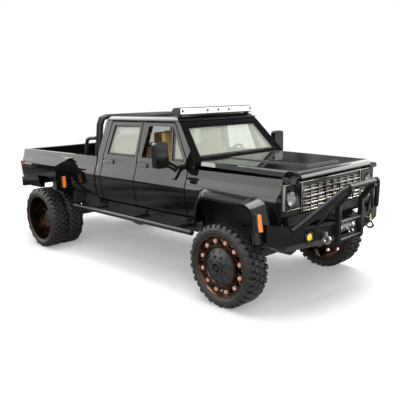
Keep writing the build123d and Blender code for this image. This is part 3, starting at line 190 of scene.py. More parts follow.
class Shader:
    """A material's node tree, with one Principled BSDF that the finish is written on."""

    def __init__(self, name: str) -> None:
        """Make a material.

        Args:
            name: Its name.
        """
        self.material = bpy.data.materials.new(name)
        self.material.use_nodes = True
        self.tree = self.material.node_tree
        self.bsdf = self.tree.nodes["Principled BSDF"]
        self.output = self.tree.nodes["Material Output"]

    def node(self, kind: str, settings: Optional[dict[str, Any]] = None, **sockets: Any) -> bpy.types.Node:
        """Add one node.

        Args:
            kind: The node's type without its ShaderNode prefix.
            settings: Attributes that are set first, such as a mode.
            **sockets: Values or links by socket name, with spaces as underscores.

        Returns:
            The new node.
        """
        made = self.tree.nodes.new("ShaderNode" + kind)
        for name, value in (settings or {}).items():
            setattr(made, name, value)
        for name, value in sockets.items():
            self.feed(self._input(made, name), value)
        return made

    @staticmethod
    def _input(node: bpy.types.Node, name: str) -> bpy.types.NodeSocket:
        """The enabled input of that name."""
        wanted = name.replace("_", " ")
        return next(s for s in node.inputs if s.name == wanted and s.enabled)

    def feed(self, socket: bpy.types.NodeSocket, value: Any) -> None:
        """Link or write one input.

        Args:
            socket: The input.
            value: A socket to link, or a number, text or colour to write.
        """
        if isinstance(value, Socket):
            self.tree.links.new(value.socket, socket)
        elif isinstance(value, bpy.types.NodeSocket):
            self.tree.links.new(value, socket)
        elif isinstance(value, tuple) and len(value) == 3 and socket.type == "RGBA":
            socket.default_value = (*value, 1.0)
        else:
            socket.default_value = value

    def surface(self, **sockets: Any) -> None:
        """Write the Principled BSDF's own sockets, with spaces as underscores."""
        for name, value in sockets.items():
            self.feed(self._input(self.bsdf, name), value)

    def value(self, node: bpy.types.Node, output: str = "") -> Socket:
        """One output of a node as a value for expressions."""
        found = node.outputs[output] if output else next(s for s in node.outputs if s.enabled)
        return Socket(self.tree, found)

    @property
    def place(self) -> bpy.types.NodeSocket:
        """Object coordinates."""
        return self.node("TexCoord").outputs["Object"]

    def noise(self, size: float, detail: float = 2.0, stretch: Colour = (1.0, 1.0, 1.0)) -> Socket:
        """Noise whose marks are about that many millimetres across.

        Args:
            size: Size of the marks.
            detail: Octaves of the noise.
            stretch: How much finer the marks are along each axis.

        Returns:
            The noise's factor, from 0 to 1.
        """
        mapped = self.node("Mapping", Vector=self.place, Scale=stretch)
        made = self.node("TexNoise", Vector=mapped.outputs[0], Scale=1 / (size * MM), Detail=detail)
        return self.value(made, "Fac")

    def axes(self) -> tuple[Socket, Socket, Socket]:
        """Object coordinates as three values, in metres."""
        split = self.node("SeparateXYZ", Vector=self.place)
        return tuple(Socket(self.tree, output) for output in split.outputs)

    def mix(self, factor: Number, low: Any, high: Any) -> Socket:
        """Colour between two colours."""
        made = self.node("Mix", {"data_type": "RGBA"}, Factor=factor, A=low, B=high)
        return Socket(self.tree, next(output for output in made.outputs if output.enabled))

    def bump(self, height: Socket, depth: float) -> None:
        """Raise the surface by a height field, its full depth in millimetres."""
        made = self.node("Bump", Height=height, Distance=depth * MM, Strength=1.0)
        self.feed(self._input(self.bsdf, "Normal"), self.value(made))


def at(place: Point, direction: Point = (0, 0, 1)) -> Matrix:
    """Frame of a small part at a place in millimetres, its own Z along a direction."""
    turn = Vector(direction).to_track_quat("Z", "Y").to_matrix().to_4x4()
    return Matrix.Translation(Vector(place)) @ turn


def outward(side: int) -> Vector:
    """Direction out of one side of the truck."""
    return Vector((0, side, 0))


def body_side(height: float) -> float:
    """Reach of the body's flat sides.

    Args:
        height: Height above the ground.

    Returns:
        Their distance from the truck's middle.
    """
    if height < CREASE_HEIGHT:
        return BODY_HALF_WIDTH - (height - CREASE_HEIGHT) * LEANS["lower"]
    shoulder = min(height, SHOULDER_HEIGHT) - CREASE_HEIGHT
    return BODY_HALF_WIDTH - shoulder * LEANS["shoulder"] - max(height - SHOULDER_HEIGHT, 0) * LEANS["belt"]


class Form:
    """A mesh under construction, in millimetres, its stations measured from the front axle."""

    def __init__(self) -> None:
        """Start with an empty mesh."""
        self.mesh = bmesh.new()

    def everything(self) -> list[Any]:
        """All vertices, edges and faces."""
        return [*self.mesh.verts, *self.mesh.edges, *self.mesh.faces]

    def node(self, name: str) -> "Form":
        """Take over a solid of the construction, its triangles merged and its flat faces whole.

        Args:
            name: The solid's node.

        Returns:
            The form itself.
        """
        self.mesh.from_mesh(NODES[name].data)
        bmesh.ops.scale(self.mesh, vec=Vector((1, 1, 1)) / MM, verts=self.mesh.verts)
        bmesh.ops.translate(self.mesh, vec=(-AXLE_X, 0, 0), verts=self.mesh.verts)
        bmesh.ops.remove_doubles(self.mesh, verts=self.mesh.verts, dist=MERGE_DISTANCE)
        bmesh.ops.dissolve_limit(self.mesh, angle_limit=math.radians(FLAT_ANGLE), verts=self.mesh.verts,
                                 edges=self.mesh.edges)
        return self

    def pair(self, x: Point, y: Point, z: Point) -> "Form":
        """Add a box on each side of the truck.

        Args:
            x: Stations of their ends.
            y: Distances of their sides from the truck's middle.
            z: Heights of their feet and tops.

        Returns:
            The form itself.
        """
        for side in SIDES.values():
            self.box(x, [side * edge for edge in y], z)
        return self

    def box(self, x: Point, y: Point, z: Point) -> "Form":
        """Add a box.

        Args:
            x: Stations of its ends.
            y: Distances of its sides from the truck's middle, positive on the left.
            z: Heights of its foot and top.

        Returns:
            The form itself.
        """
        ranges = [sorted(pair) for pair in (x, y, z)]
        middle = Vector([(low + high) / 2 for low, high in ranges])
        size = Matrix.Diagonal([high - low for low, high in ranges] + [1])
        bmesh.ops.create_cube(self.mesh, size=1.0, matrix=Matrix.Translation(middle) @ size)
        return self

    def cone(self, place: Matrix, radius: float, height: float, top: Optional[float] = None,
             sides: int = 16) -> "Form":
        """Add a cylinder or cone that stands on a place.

        Args:
            place: Frame of its foot.
            radius: Radius of the foot.
            height: Height along the frame's Z.
            top: Radius of the top, the same as the foot's when left out.
            sides: Number of sides, 6 for a bolt's head.

        Returns:
            The form itself.
        """
        bmesh.ops.create_cone(self.mesh, cap_ends=True, segments=sides, radius1=radius,
                              radius2=radius if top is None else top, depth=height,
                              matrix=place @ Matrix.Translation((0, 0, height / 2)))
        return self

    def rod(self, start: Point, end: Point, radius: float, sides: int = 12) -> "Form":
        """Add a round bar between two points."""
        run = Vector(end) - Vector(start)
        return self.cone(at(start, run), radius, run.length, sides=sides)

    def spun(self, place: Matrix, profile: Sequence[Point], sides: int = 48, closed: bool = True) -> "Form":
        """Add a turned shape.

        Args:
            place: Its frame, turned about Z.
            profile: Radius and height of each point.
            sides: Steps of the full turn.
            closed: Whether the profile comes back to its first point, as round a ring.

        Returns:
            The form itself.
        """
        form = bmesh.new()
        verts = [form.verts.new((radius, 0, height)) for radius, height in profile]
        pairs = list(zip(verts, verts[1:])) + ([(verts[-1], verts[0])] if closed else [])
        edges = [form.edges.new(pair) for pair in pairs]
        bmesh.ops.spin(form, geom=verts + edges, cent=(0, 0, 0), axis=(0, 0, 1), angle=2 * math.pi,
                       steps=sides, use_merge=True)
        bmesh.ops.remove_doubles(form, verts=form.verts, dist=POINT_TOLERANCE)
        bmesh.ops.recalc_face_normals(form, faces=form.faces)
        bmesh.ops.transform(form, matrix=place, verts=form.verts)
        self._take(form)
        return self

    def _take(self, other: bmesh.types.BMesh) -> None:
        """Add another mesh and free it.

        Args:
            other: The mesh.
        """
        mesh = bpy.data.meshes.new("part")
        other.to_mesh(mesh)
        other.free()
        self.mesh.from_mesh(mesh)
        bpy.data.meshes.remove(mesh)

    def add(self, other: "Form") -> "Form":
        """Add a whole form."""
        self._take(other.mesh)
        return self

    def moved(self, matrix: Matrix) -> "Form":
        """Move or turn the form so far."""
        bmesh.ops.transform(self.mesh, matrix=matrix, verts=self.mesh.verts)
        return self

    def around(self, count: int) -> "Form":
        """Repeat the form so far evenly about Z.

        Args:
            count: How many there are in the end.

        Returns:
            The form itself.
        """
        bmesh.ops.spin(self.mesh, geom=self.everything(), cent=(0, 0, 0), axis=(0, 0, 1),
                       angle=2 * math.pi * (count - 1) / count, steps=count - 1, use_duplicate=True)
        return self

    def bevel(self, width: float, segments: int = 1, sharp: float = 28.0) -> "Form":
        """Break the sharp edges.

        Args:
            width: How far each edge is broken.
            segments: Facets of a broken edge.
            sharp: Angle in degrees over which an edge is sharp.

        Returns:
            The form itself.
        """
        edges = [edge for edge in self.mesh.edges
                 if len(edge.link_faces) == 2 and edge.calc_face_angle() > math.radians(sharp)]
        bmesh.ops.bevel(self.mesh, geom=edges, offset=width, offset_type="OFFSET", affect="EDGES",
                        segments=segments, profile=0.5, material=-1, clamp_overlap=True, loop_slide=True)
        return self

    def cut(self, axis: str, place: float) -> "Form":
        """Run edges round the form in a plane.

        Args:
            axis: The axis that the plane is across, "X" or "Z".
            place: Where the plane crosses it.

        Returns:
            The form itself.
        """
        normal = Vector((float(axis == "X"), 0, float(axis == "Z")))
        bmesh.ops.bisect_plane(self.mesh, geom=self.everything(), dist=POINT_TOLERANCE, plane_no=normal,
                               plane_co=normal * place)
        return self

    def body_lines(self) -> "Form":
        """Round the creases along the truck's sides, each over a parabola that meets both flats.

        Returns:
            The form itself.
        """
        for height, half, _ in BODY_CREASES:
            for step in range(-CREASE_STEPS, CREASE_STEPS + 1):
                self.cut("Z", height + half * step / CREASE_STEPS)
        for vert in self.mesh.verts:
            if abs(abs(vert.co.y) - body_side(vert.co.z)) > SIDE_TOLERANCE:
                continue
            for height, half, turn in BODY_CREASES:
                away = abs(vert.co.z - height) / half
                if away < 1:
                    vert.co.y -= math.copysign(turn * half / 4 * (1 - away) ** 2, vert.co.y)
                    break
        return self

    def piece(self, name: str, finish: "Finish", body: str, nodes: Iterable[str] = (),
              smooth: float = 32.0) -> bpy.types.Object:
        """Finish the form as a piece of the model.

        Args:
            name: The piece's name.
            finish: Its finish.
            body: The body that it rides on.
            nodes: Solids of the construction that it stands for.
            smooth: Angle in degrees up to which its faces shade as one.

        Returns:
            The new object.
        """
        bmesh.ops.translate(self.mesh, vec=(AXLE_X, 0, 0), verts=self.mesh.verts)
        bmesh.ops.scale(self.mesh, vec=Vector((MM, MM, MM)), verts=self.mesh.verts)
        mesh = bpy.data.meshes.new(name)
        self.mesh.to_mesh(mesh)
        self.mesh.free()
        mesh.shade_smooth()
        mesh.set_sharp_from_angle(angle=math.radians(smooth))
        mesh.materials.append(finish.material())
        made = bpy.data.objects.new(name, mesh)
        bpy.context.scene.collection.objects.link(made)
        weighted = made.modifiers.new("even_shading", "WEIGHTED_NORMAL")
        weighted.keep_sharp = True
        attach(made, body)
        if nodes:
            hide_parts(*nodes)
        LOG.info("%s: %s, %d faces", name, finish.name, len(mesh.polygons))
        return made


class Grain(Enum):
    """What breaks up a finish's surface when it is seen close to."""

    SMOOTH = "smooth"
    PEEL = "orange peel of a sprayed coat"
    WAVY = "thick sprayed coat over a cast shell, with slow waves and orange peel"
    CAST = "fine cast texture"
    BRUSHED = "brushing along the truck"
    CHANNELS = "sewn channels"


@dataclass(frozen=True)
class Finish:
    """One finish of the model: its colour and how it takes the light.

    Attributes:
        name: Material name.
        slot: The record's material slot.
        colour: Linear base colour.
        roughness: Mean roughness.
        metallic: 1 for bare metal.
        coat: Weight of the clear lacquer.
        specular: Specular level under the lacquer.
        grain: What breaks up the surface.
        depth: Depth of that grain in millimetres.
        drift: How far colour and roughness wander over the surface.
        alpha: Opacity.
        glow: Emission strength in the base colour, a painted glow on a lens that is not lit.
    """

    name: str
    slot: str
    colour: Colour
    roughness: float = 0.4
    metallic: float = 0.0
    coat: float = 0.0
    specular: float = 0.5
    grain: Grain = Grain.SMOOTH
    depth: float = 0.01
    drift: float = 0.12
    alpha: float = 1.0
    glow: float = 0.0

    def material(self) -> bpy.types.Material:
        """The finish as a material, made once."""
        return bpy.data.materials.get(self.name) or self._build()

    def _build(self) -> bpy.types.Material:
        """Write the finish's nodes.

        Returns:
            The material.
        """
        shader = Shader(self.name)
        wander = shader.noise(DRIFT_SIZE, 3.0)
        shade = tuple(channel * (1 - self.drift) for channel in self.colour)
        light = tuple(min(1.0, channel * (1 + self.drift)) for channel in self.colour)
        spread = self.roughness * self.drift
        shader.surface(
            Base_Color=self.tint(shader, shader.mix(wander, shade, light)),
            Roughness=(wander * (2 * spread) + (self.roughness - spread)).clamped(),
            Metallic=self.metallic,
            Specular_IOR_Level=self.specular,
            Coat_Weight=self.coat,
            Coat_Roughness=COAT_ROUGHNESS,
            Alpha=self.alpha,
        )
        # Painted glow: an unlit lens gives off light in its own colour.
        if self.glow:
            shader.surface(Emission_Color=self.colour, Emission_Strength=self.glow)
        height = self.height(shader)
        if height:
            shader.bump(height, self.depth)
        return shader.material

    def tint(self, shader: Shader, colour: Socket) -> Socket:
        """Base colour, changed by a finish that has marks of its own."""
        return colour

    def height(self, shader: Shader) -> Optional[Socket]:
        """Height field of the grain.

        Args:
            shader: The finish's material.

        Returns:
            The field, or None where the finish is smooth.
        """
        if self.grain is Grain.PEEL:
            return shader.noise(PEEL_SIZE, 1.0)
        if self.grain is Grain.WAVY:
            return shader.noise(PEEL_SIZE, 1.0) * PEEL_SHARE + shader.noise(WAVE_SIZE, 1.0)
        if self.grain is Grain.CAST:
            return shader.noise(CAST_SIZE, 3.0)
        if self.grain is Grain.BRUSHED:
            return shader.noise(BRUSH_SIZE, 2.0, BRUSH_STRETCH)
        if self.grain is Grain.CHANNELS:
            across = shader.axes()[1] * (math.pi / (CHANNEL_PITCH * MM))
            return abs(across.sine()) + shader.noise(CLOTH_SIZE, 3.0) * CLOTH_SHARE
        return None


@dataclass(frozen=True)
class TyreRubber(Finish):
    """Rubber, lighter in patches on the tread with dust and a painted highlight, and with rings moulded on
    the sidewall.

    Attributes:
        station: Station of the wheel's axle from the front axle, millimetres.
        tread: Radius from which the rubber is lighter with dust and a painted highlight, millimetres.
        dust_sheen_rise: How fast the lighter shade sets in over each millimetre.
        dust_sheen_size: Size of the lighter patches, millimetres.
        dust_sheen_share: Share of the lighter shade in the strongest patches.
        dust_sheen_shade: How many times lighter the dusty, highlighted rubber is.
        wall: Radius up to which the sidewall is ringed, millimetres.
        ring_pitch: Distance from ring to ring, millimetres.
        ring_share: Depth of the rings as a share of the finish's depth.
    """

    station: float = 0.0
    tread: float = 7.7
    dust_sheen_rise: float = 3.0
    dust_sheen_size: float = 0.8
    dust_sheen_share: float = 0.6
    dust_sheen_shade: float = 2.6
    wall: float = 7.0
    ring_pitch: float = 0.22
    ring_share: float = 0.35

    def tint(self, shader: Shader, colour: Socket) -> Socket:
        """Base colour, lighter in patches on the tread: dust with a painted highlight.

        Args:
            shader: The finish's material.
            colour: The rubber's own colour.

        Returns:
            The colour with its scuffs.
        """
        # Dust and painted highlight: the tread is lighter all round, in patches.
        dust_sheen_band = ((self._radius(shader) - self.tread) * self.dust_sheen_rise).clamped()
        patches = (shader.noise(self.dust_sheen_size, 4.0) * 1.2).clamped()
        lighter = tuple(channel * self.dust_sheen_shade for channel in self.colour)
        return shader.mix(dust_sheen_band * patches * self.dust_sheen_share, colour, lighter)

    def height(self, shader: Shader) -> Optional[Socket]:
        """Height field of the sidewall's rings and the rubber's own texture.

        Args:
            shader: The finish's material.

        Returns:
            The field.
        """
        radius = self._radius(shader)
        rings = (radius * (2 * math.pi / self.ring_pitch)).sine()
        return rings * ((radius < self.wall) * self.ring_share) + shader.noise(0.25, 3.0)

    def _radius(self, shader: Shader) -> Socket:
        """Distance from the axle.

        Args:
            shader: The finish's material.

        Returns:
            The distance in millimetres.
        """
        x, _, z = shader.axes()
        along = x / MM - (AXLE_X + self.station)
        up = z / MM - AXLE_HEIGHT
        return (along * along + up * up).root()


BODY_PAINT = Finish("gloss_black_paint", "body_paint", (0.004, 0.004, 0.0045), 0.3, coat=1.0, specular=0.0,
                    grain=Grain.WAVY, depth=0.09, drift=0.2)
GLOSS_BLACK = Finish("gloss_black_plastic", "satin_black", (0.006, 0.006, 0.007), 0.14, drift=0.2,
                     grain=Grain.PEEL, depth=0.002)
SATIN_BLACK = Finish("satin_black_plastic", "satin_black", (0.011, 0.011, 0.012), 0.36,
                     grain=Grain.CAST, depth=0.006)
RUBBER_TRIM = Finish("window_rubber", "satin_black", (0.009, 0.009, 0.009), 0.42,
                     grain=Grain.CAST, depth=0.004)
HUB_BLACK = Finish("hub_black", "satin_black", (0.018, 0.02, 0.021), 0.36, grain=Grain.CAST, depth=0.006)
GUARD_BLACK = Finish("satin_black_metal", "guard_black", (0.008, 0.008, 0.009), 0.3, specular=0.32,
                     grain=Grain.CAST, depth=0.008)
CHASSIS_BLACK = Finish("matte_black_plastic", "chassis_black", (0.012, 0.012, 0.013), 0.55, grain=Grain.CAST)
CHROME = Finish("bright_plating", "chrome", (0.92, 0.87, 0.76), 0.16, metallic=1.0, drift=0.08)
DARK_CHROME = Finish("smoked_plating", "chrome", (0.14, 0.14, 0.135), 0.2, metallic=1.0, drift=0.1)
SILVERED = Finish("silvered_bowl", "chrome", (0.2, 0.205, 0.19), 0.16, metallic=1.0, drift=0.2)
BRONZE = Finish("dark_bronze", "rim_finish", (0.085, 0.045, 0.03), 0.26, metallic=1.0, coat=0.3,
                grain=Grain.PEEL, depth=0.004, drift=0.2)
COPPER = Finish("copper_edge", "rim_finish", (0.36, 0.2, 0.13), 0.26, metallic=1.0, drift=0.15,
                grain=Grain.PEEL, depth=0.003)
BOLT_COPPER = Finish("bright_copper", "rim_finish", (0.82, 0.5, 0.36), 0.28, metallic=0.45, drift=0.12,
                     grain=Grain.PEEL, depth=0.003)
GLASS = Finish("pale_glazing", "glass", (0.53, 0.58, 0.49), 0.05, specular=0.6, alpha=0.42, drift=0.05)
TAN = Finish("tan_plastic", "interior_tan", (0.55, 0.36, 0.13), 0.5, grain=Grain.CAST)
TAN_DARK = Finish("tan_carpet", "interior_tan", (0.3, 0.19, 0.07), 0.9, grain=Grain.CAST, depth=0.05)
UPHOLSTERY = Finish("tan_seat_moulding", "interior_tan", (0.72, 0.45, 0.15), 0.55,
                    grain=Grain.CHANNELS, depth=0.05)
STEEL = Finish("steel_pipe", "steel", (0.42, 0.42, 0.42), 0.35, metallic=1.0,
               grain=Grain.BRUSHED, depth=0.005)
SILVER = Finish("silver_casting", "silver", (0.66, 0.66, 0.66), 0.28, metallic=1.0, grain=Grain.CAST)
# Painted glow: the unlit white lens shines by emission so that it reads bright.
CLEAR = Finish("white_lens_painted_glow", "lamp_clear", (0.9, 0.9, 0.9), 0.12, drift=0.04, glow=0.35)
LENS = Finish("clear_dome", "lamp_clear", (0.8, 0.85, 0.82), 0.04, specular=0.6, alpha=0.22, drift=0.05)
AMBER = Finish("amber_lens", "lamp_amber", (0.8, 0.2, 0.015), 0.16, coat=0.5, drift=0.25, grain=Grain.CAST)
YELLOW = Finish("yellow_lens", "lamp_yellow", (0.85, 0.6, 0.05), 0.14, coat=0.5, drift=0.2)
RED = Finish("red_lens", "lamp_red", (0.35, 0.008, 0.012), 0.12, coat=0.6, drift=0.2,
             grain=Grain.BRUSHED, depth=0.02)
FRONT_RUBBER = TyreRubber("front_tyre_rubber", "tyre", (0.009, 0.009, 0.01), 0.5, depth=0.025)
REAR_RUBBER = TyreRubber("rear_tyre_rubber", "tyre", (0.009, 0.009, 0.01), 0.5, depth=0.025,
                         station=REAR_AXLE)


@dataclass(frozen=True)
class Carried:
    """A piece of the construction whose shape is kept, its edges broken and its curves made smooth.

    Attributes:
        node: The solid it stands for.
        finish: Its finish.
        edge: How far each sharp edge is broken, millimetres, 0 to leave them.
        segments: Facets of a broken edge.
        creased: Whether the creases of the truck's sides run over it.
    """

    node: str
    finish: Finish
    edge: float = 0.08
    segments: int = 2
    creased: bool = False

    def build(self) -> None:
        """Make the dressed copy."""
        form = Form().node(self.node)
        if self.creased:
            form.body_lines()
        if self.edge:
            form.bevel(self.edge, self.segments)
        form.piece(self.node + "_dressed", self.finish, BODY_OF[self.node], [self.node])


@dataclass(frozen=True)
class Wheel:
    """One wheel position: its tyres, rim dressing, hub and bolts.

    Attributes:
        axle: "front" or "rear", as in the names of its solids.
        side: "left" or "right".
        station: Station of its axle.
        tyres: Distances of the tyres' middles from the truck's middle.
        width: Width of one tyre.
        rubber: Finish of the tyres.
        radius: Radius over the tread.
        bead: Radius of the bead.
        lugs: Pairs of shoulder lugs round the tread.
        lug_foot: Radius at which a shoulder lug starts.
        lug_middle: Radius that parts a lug's foot from its top.
        steps: Steps of the turned shapes.
        lip_inset: How far the rim's lip stands in from the tyre's widest point.
    """

    axle: str
    side: str
    station: float
    tyres: tuple[float, ...]
    width: float
    rubber: Finish
    radius: float = 8.04
    bead: float = 6.1
    lugs: int = 18
    lug_foot: float = 6.95
    lug_middle: float = 7.5
    steps: int = 72
    lip_inset: float = 0.28

    @property
    def body(self) -> str:
        """The body that the wheel turns with."""
        return BODY_OF[f"{self.axle}_rim_{self.side}"]

    def frame_at(self, reach: float) -> Matrix:
        """Frame on the axle at a distance from the truck's middle, its Z pointing out."""
        side = SIDES[self.side]
        return at((self.station, side * reach, AXLE_HEIGHT), outward(side))

    def carcass(self) -> Form:
        """Tyre without its lugs: bead, ringed sidewall and a low crown.

        Returns:
            The tyre, in its own frame.
        """
        half, under = self.width / 2, self.radius - 0.45
        flank = [(self.bead - 0.02, half - 0.3), (self.bead + 0.12, half - 0.14), (6.4, half - 0.1),
                 (6.48, half - 0.02), (6.66, half - 0.02), (6.72, half - 0.08), (7.0, half - 0.06),
                 (7.2, half - 0.2), (under, half - 0.75), (under + 0.04, 0.0)]
        profile = flank + [(radius, -height) for radius, height in reversed(flank[:-1])]
        return Form().spun(Matrix.Identity(4), profile, self.steps)

    def shoulder_lug(self, size: Point, step_in: float, turn: float) -> Form:
        """Lug that wraps from the tread down the shoulder.

        Args:
            size: Length round the tread and width across it.
            step_in: How far its outer face stands in from the widest point.
            turn: Place round the tyre, degrees.

        Returns:
            The lug, in the tyre's frame.
        """
        length, width = size
        half = self.width / 2 - step_in
        foot = self.lug_foot + step_in
        form = Form().box((-length / 2, length / 2), (foot, self.radius), (half - width, half))
        for vert in form.mesh.verts:
            on_top = vert.co.y > self.lug_middle
            outside = vert.co.z > half - 0.1
            if on_top:
                vert.co.x *= 0.88
            if on_top and outside:
                vert.co.z -= 0.42
                vert.co.y -= 0.06
            if not on_top and not outside:
                vert.co.y += 0.5
        return form.bevel(0.07).moved(Matrix.Rotation(math.radians(turn), 4, "Z"))

    def crown_block(self, z_range: Point, skew: float, turn: float) -> Form:
        """Block on the crown, turned a little about its own middle.

        Args:
            z_range: Its two ends across the tread, from the tyre's middle.
            skew: Turn about its own middle, degrees.
            turn: Place round the tyre, degrees.

        Returns:
            The block, in the tyre's frame.
        """
        form = Form().box((-0.52, 0.52), (7.4, self.radius - 0.04), (-0.5, 0.5))
        low, high = z_range
        stretch = Matrix.Diagonal((1, 1, high - low, 1))
        form.moved(Matrix.Rotation(math.radians(skew), 4, "Y") @ stretch)
        form.moved(Matrix.Translation((0, 0, (low + high) / 2)))
        return form.bevel(0.07).moved(Matrix.Rotation(math.radians(turn), 4, "Z"))

    def tread(self) -> Form:
        """Ring of lugs: two rows of shoulder lugs, each second one set in, and two rows of crown blocks.

        Returns:
            The lugs, in the tyre's frame.
        """
        pitch = 360 / self.lugs
        reach = self.width / 2 * 0.52
        inner = self.width / 2 - reach - 0.12
        ring = Form()
        for flank in (0, 1):
            row = Form()
            row.add(self.shoulder_lug((0.98, reach), 0.0, flank * pitch / 4))
            row.add(self.shoulder_lug((0.9, reach - 0.1), 0.16, flank * pitch / 4 + pitch / 2))
            for step in (0.25, 0.75):
                row.add(self.crown_block((0.06, inner), -24.0, (step + flank / 4) * pitch))
            if flank:
                row.moved(Matrix.Rotation(math.pi, 4, "Y"))
            ring.add(row)
        return ring.around(self.lugs)

    def build_tyres(self) -> None:
        """The tyre, or both of a dual wheel."""
        form = Form()
        for reach in self.tyres:
            form.add(self.carcass().add(self.tread()).moved(self.frame_at(reach)))
        solid = f"rear_tyres_{self.side}" if self.axle == "rear" else f"front_tyre_{self.side}"
        form.piece(f"{self.axle}_tread_{self.side}", self.rubber, self.body, [solid])

    def bolt_ring(self, reach: float, ring: float, count: int, size: Point) -> Form:
        """Hexagonal bolts in a ring, each with the end of its stud.

        Args:
            reach: Distance of their seat from the truck's middle.
            ring: Radius of the ring.
            count: How many.
            size: Radius and height of a bolt.

        Returns:
            The bolts, in place.
        """
        radius, height = size
        head = Form().cone(at((ring, 0, 0)), radius, height * 0.6, sides=6)
        head.cone(at((ring, 0, height * 0.6)), radius * 0.62, height * 0.4, radius * 0.5, 8)
        half_step = Matrix.Rotation(math.pi / count, 4, "Z")
        return head.moved(half_step).around(count).moved(self.frame_at(reach))

    def lip(self, reach: float) -> Form:
        """Polished lip of the rim."""
        section = [(5.86, -0.16), (5.9, 0.0), (6.02, 0.02), (6.07, -0.08), (6.07, -0.3), (5.9, -0.3)]
        return Form().spun(self.frame_at(reach), section, self.steps)


@dataclass(frozen=True)
class FrontWheel(Wheel):
    """Single wheel: windowed bronze face, copper bolts and a domed black hub.

    Attributes:
        bolts: How many bolts the face has.
        bolt_circle: Radius of their ring.
        bolt_size: Radius and height of a bolt.
        bolt_inset: How far their seat lies behind the lip.
        nuts: How many nuts the hub has.
        nut_circle: Radius of their ring.
        nut_size: Radius and height of a nut.
        nut_seat: How far their seat stands out of the lip's plane.
        hub_steps: Steps of the dome's turn, five to a pocket.
        pocket_band: Inner and outer radius of the pockets in the dome.
    """

    bolts: int = 12
    bolt_circle: float = 4.86
    bolt_size: tuple[float, float] = (0.42, 0.4)
    bolt_inset: float = 0.62
    nuts: int = 8
    nut_circle: float = 2.02
    nut_size: tuple[float, float] = (0.3, 0.36)
    nut_seat: float = 0.16
    hub_steps: int = 50
    pocket_band: tuple[float, float] = (2.6, 3.3)

    def build(self) -> None:
        """Tyre, rim face, lip, bolts, hub and nuts."""
        self.build_tyres()
        face = self.tyres[0] + self.width / 2 - self.lip_inset
        Carried(f"front_rim_{self.side}", BRONZE, 0.05).build()
        self.lip(face).piece(f"{self.axle}_lip_{self.side}", COPPER, self.body)
        bolts = self.bolt_ring(face - self.bolt_inset, self.bolt_circle, self.bolts, self.bolt_size)
        bolts.piece(f"{self.axle}_bolts_{self.side}", BOLT_COPPER, self.body)
        ring = Form().spun(self.frame_at(face), [(3.62, -0.14), (3.7, 0.02), (3.9, 0.02), (3.98, -0.14)], 60)
        ring.piece(f"{self.axle}_hub_ring_{self.side}", BRONZE, self.body)
        self._hub(face).piece(f"{self.axle}_hub_{self.side}", HUB_BLACK, self.body)

    def _hub(self, face: float) -> Form:
        """Domed hub with a ring of pockets, lug nuts and a stepped cap.

        Args:
            face: Distance of the lip's plane from the truck's middle.

        Returns:
            The hub, in place.
        """
        inner, outer = self.pocket_band
        dome = [(3.62, -0.42), (3.55, -0.3), (outer, -0.22), (inner, 0.02), (2.3, 0.14), (1.35, 0.36),
                (1.25, 0.86), (0.85, 0.9), (0.8, 0.8), (0.0, 0.8)]
        form = Form().spun(Matrix.Identity(4), dome, self.hub_steps, closed=False)
        pockets = [item for item in form.mesh.faces if self._in_pocket(item.calc_center_median())]
        bmesh.ops.inset_region(form.mesh, faces=pockets, thickness=0.07, depth=0.0)
        bmesh.ops.inset_region(form.mesh, faces=pockets, thickness=0.02, depth=-0.14)
        form.moved(self.frame_at(face))
        return form.add(self.bolt_ring(face + self.nut_seat, self.nut_circle, self.nuts, self.nut_size))

    def _in_pocket(self, middle: Vector) -> bool:
        """Whether a face of the dome belongs to a pocket.

        Args:
            middle: The face's middle.

        Returns:
            True in the first two of every five steps round the pockets' band.
        """
        inner, outer = self.pocket_band
        step = round(math.degrees(math.atan2(middle.y, middle.x)) / (360 / self.hub_steps) - 0.5)
        return inner < middle.xy.length < outer and step % 5 in (0, 1)


@dataclass(frozen=True)
class RearWheel(Wheel):
    """Dual wheel: a deep bronze dish with its nuts and hub at the bottom.

    Attributes:
        rings: Rings of bolts in the dish, as radius, count, and radius and height of a bolt.
    """

    rings: tuple[tuple[float, int, Point], ...] = (
        (4.7, 12, (0.26, 0.28)),
        (2.7, 8, (0.3, 0.42)),
    )

    def build(self) -> None:
        """Both tyres, rim, lip, nuts and hub."""
        self.build_tyres()
        Carried(f"rear_rim_{self.side}", BRONZE, 0.05).build()
        outer = self.tyres[0] + self.width / 2
        self.lip(outer - self.lip_inset).piece(f"{self.axle}_lip_{self.side}", COPPER, self.body)
        disc = outer - self.width + self.lip_inset
        bolts = Form()
        for ring, count, size in self.rings:
            bolts.add(self.bolt_ring(disc, ring, count, size))
        bolts.piece(f"{self.axle}_bolts_{self.side}", SILVER, self.body)
        hub = [(1.9, 0.0), (1.8, 1.0), (1.55, 1.5), (0.9, 1.62), (0.85, 1.5), (0.0, 1.5)]
        form = Form().spun(self.frame_at(disc), hub, 36, closed=False)
        form.piece(f"{self.axle}_hub_{self.side}", HUB_BLACK, self.body)


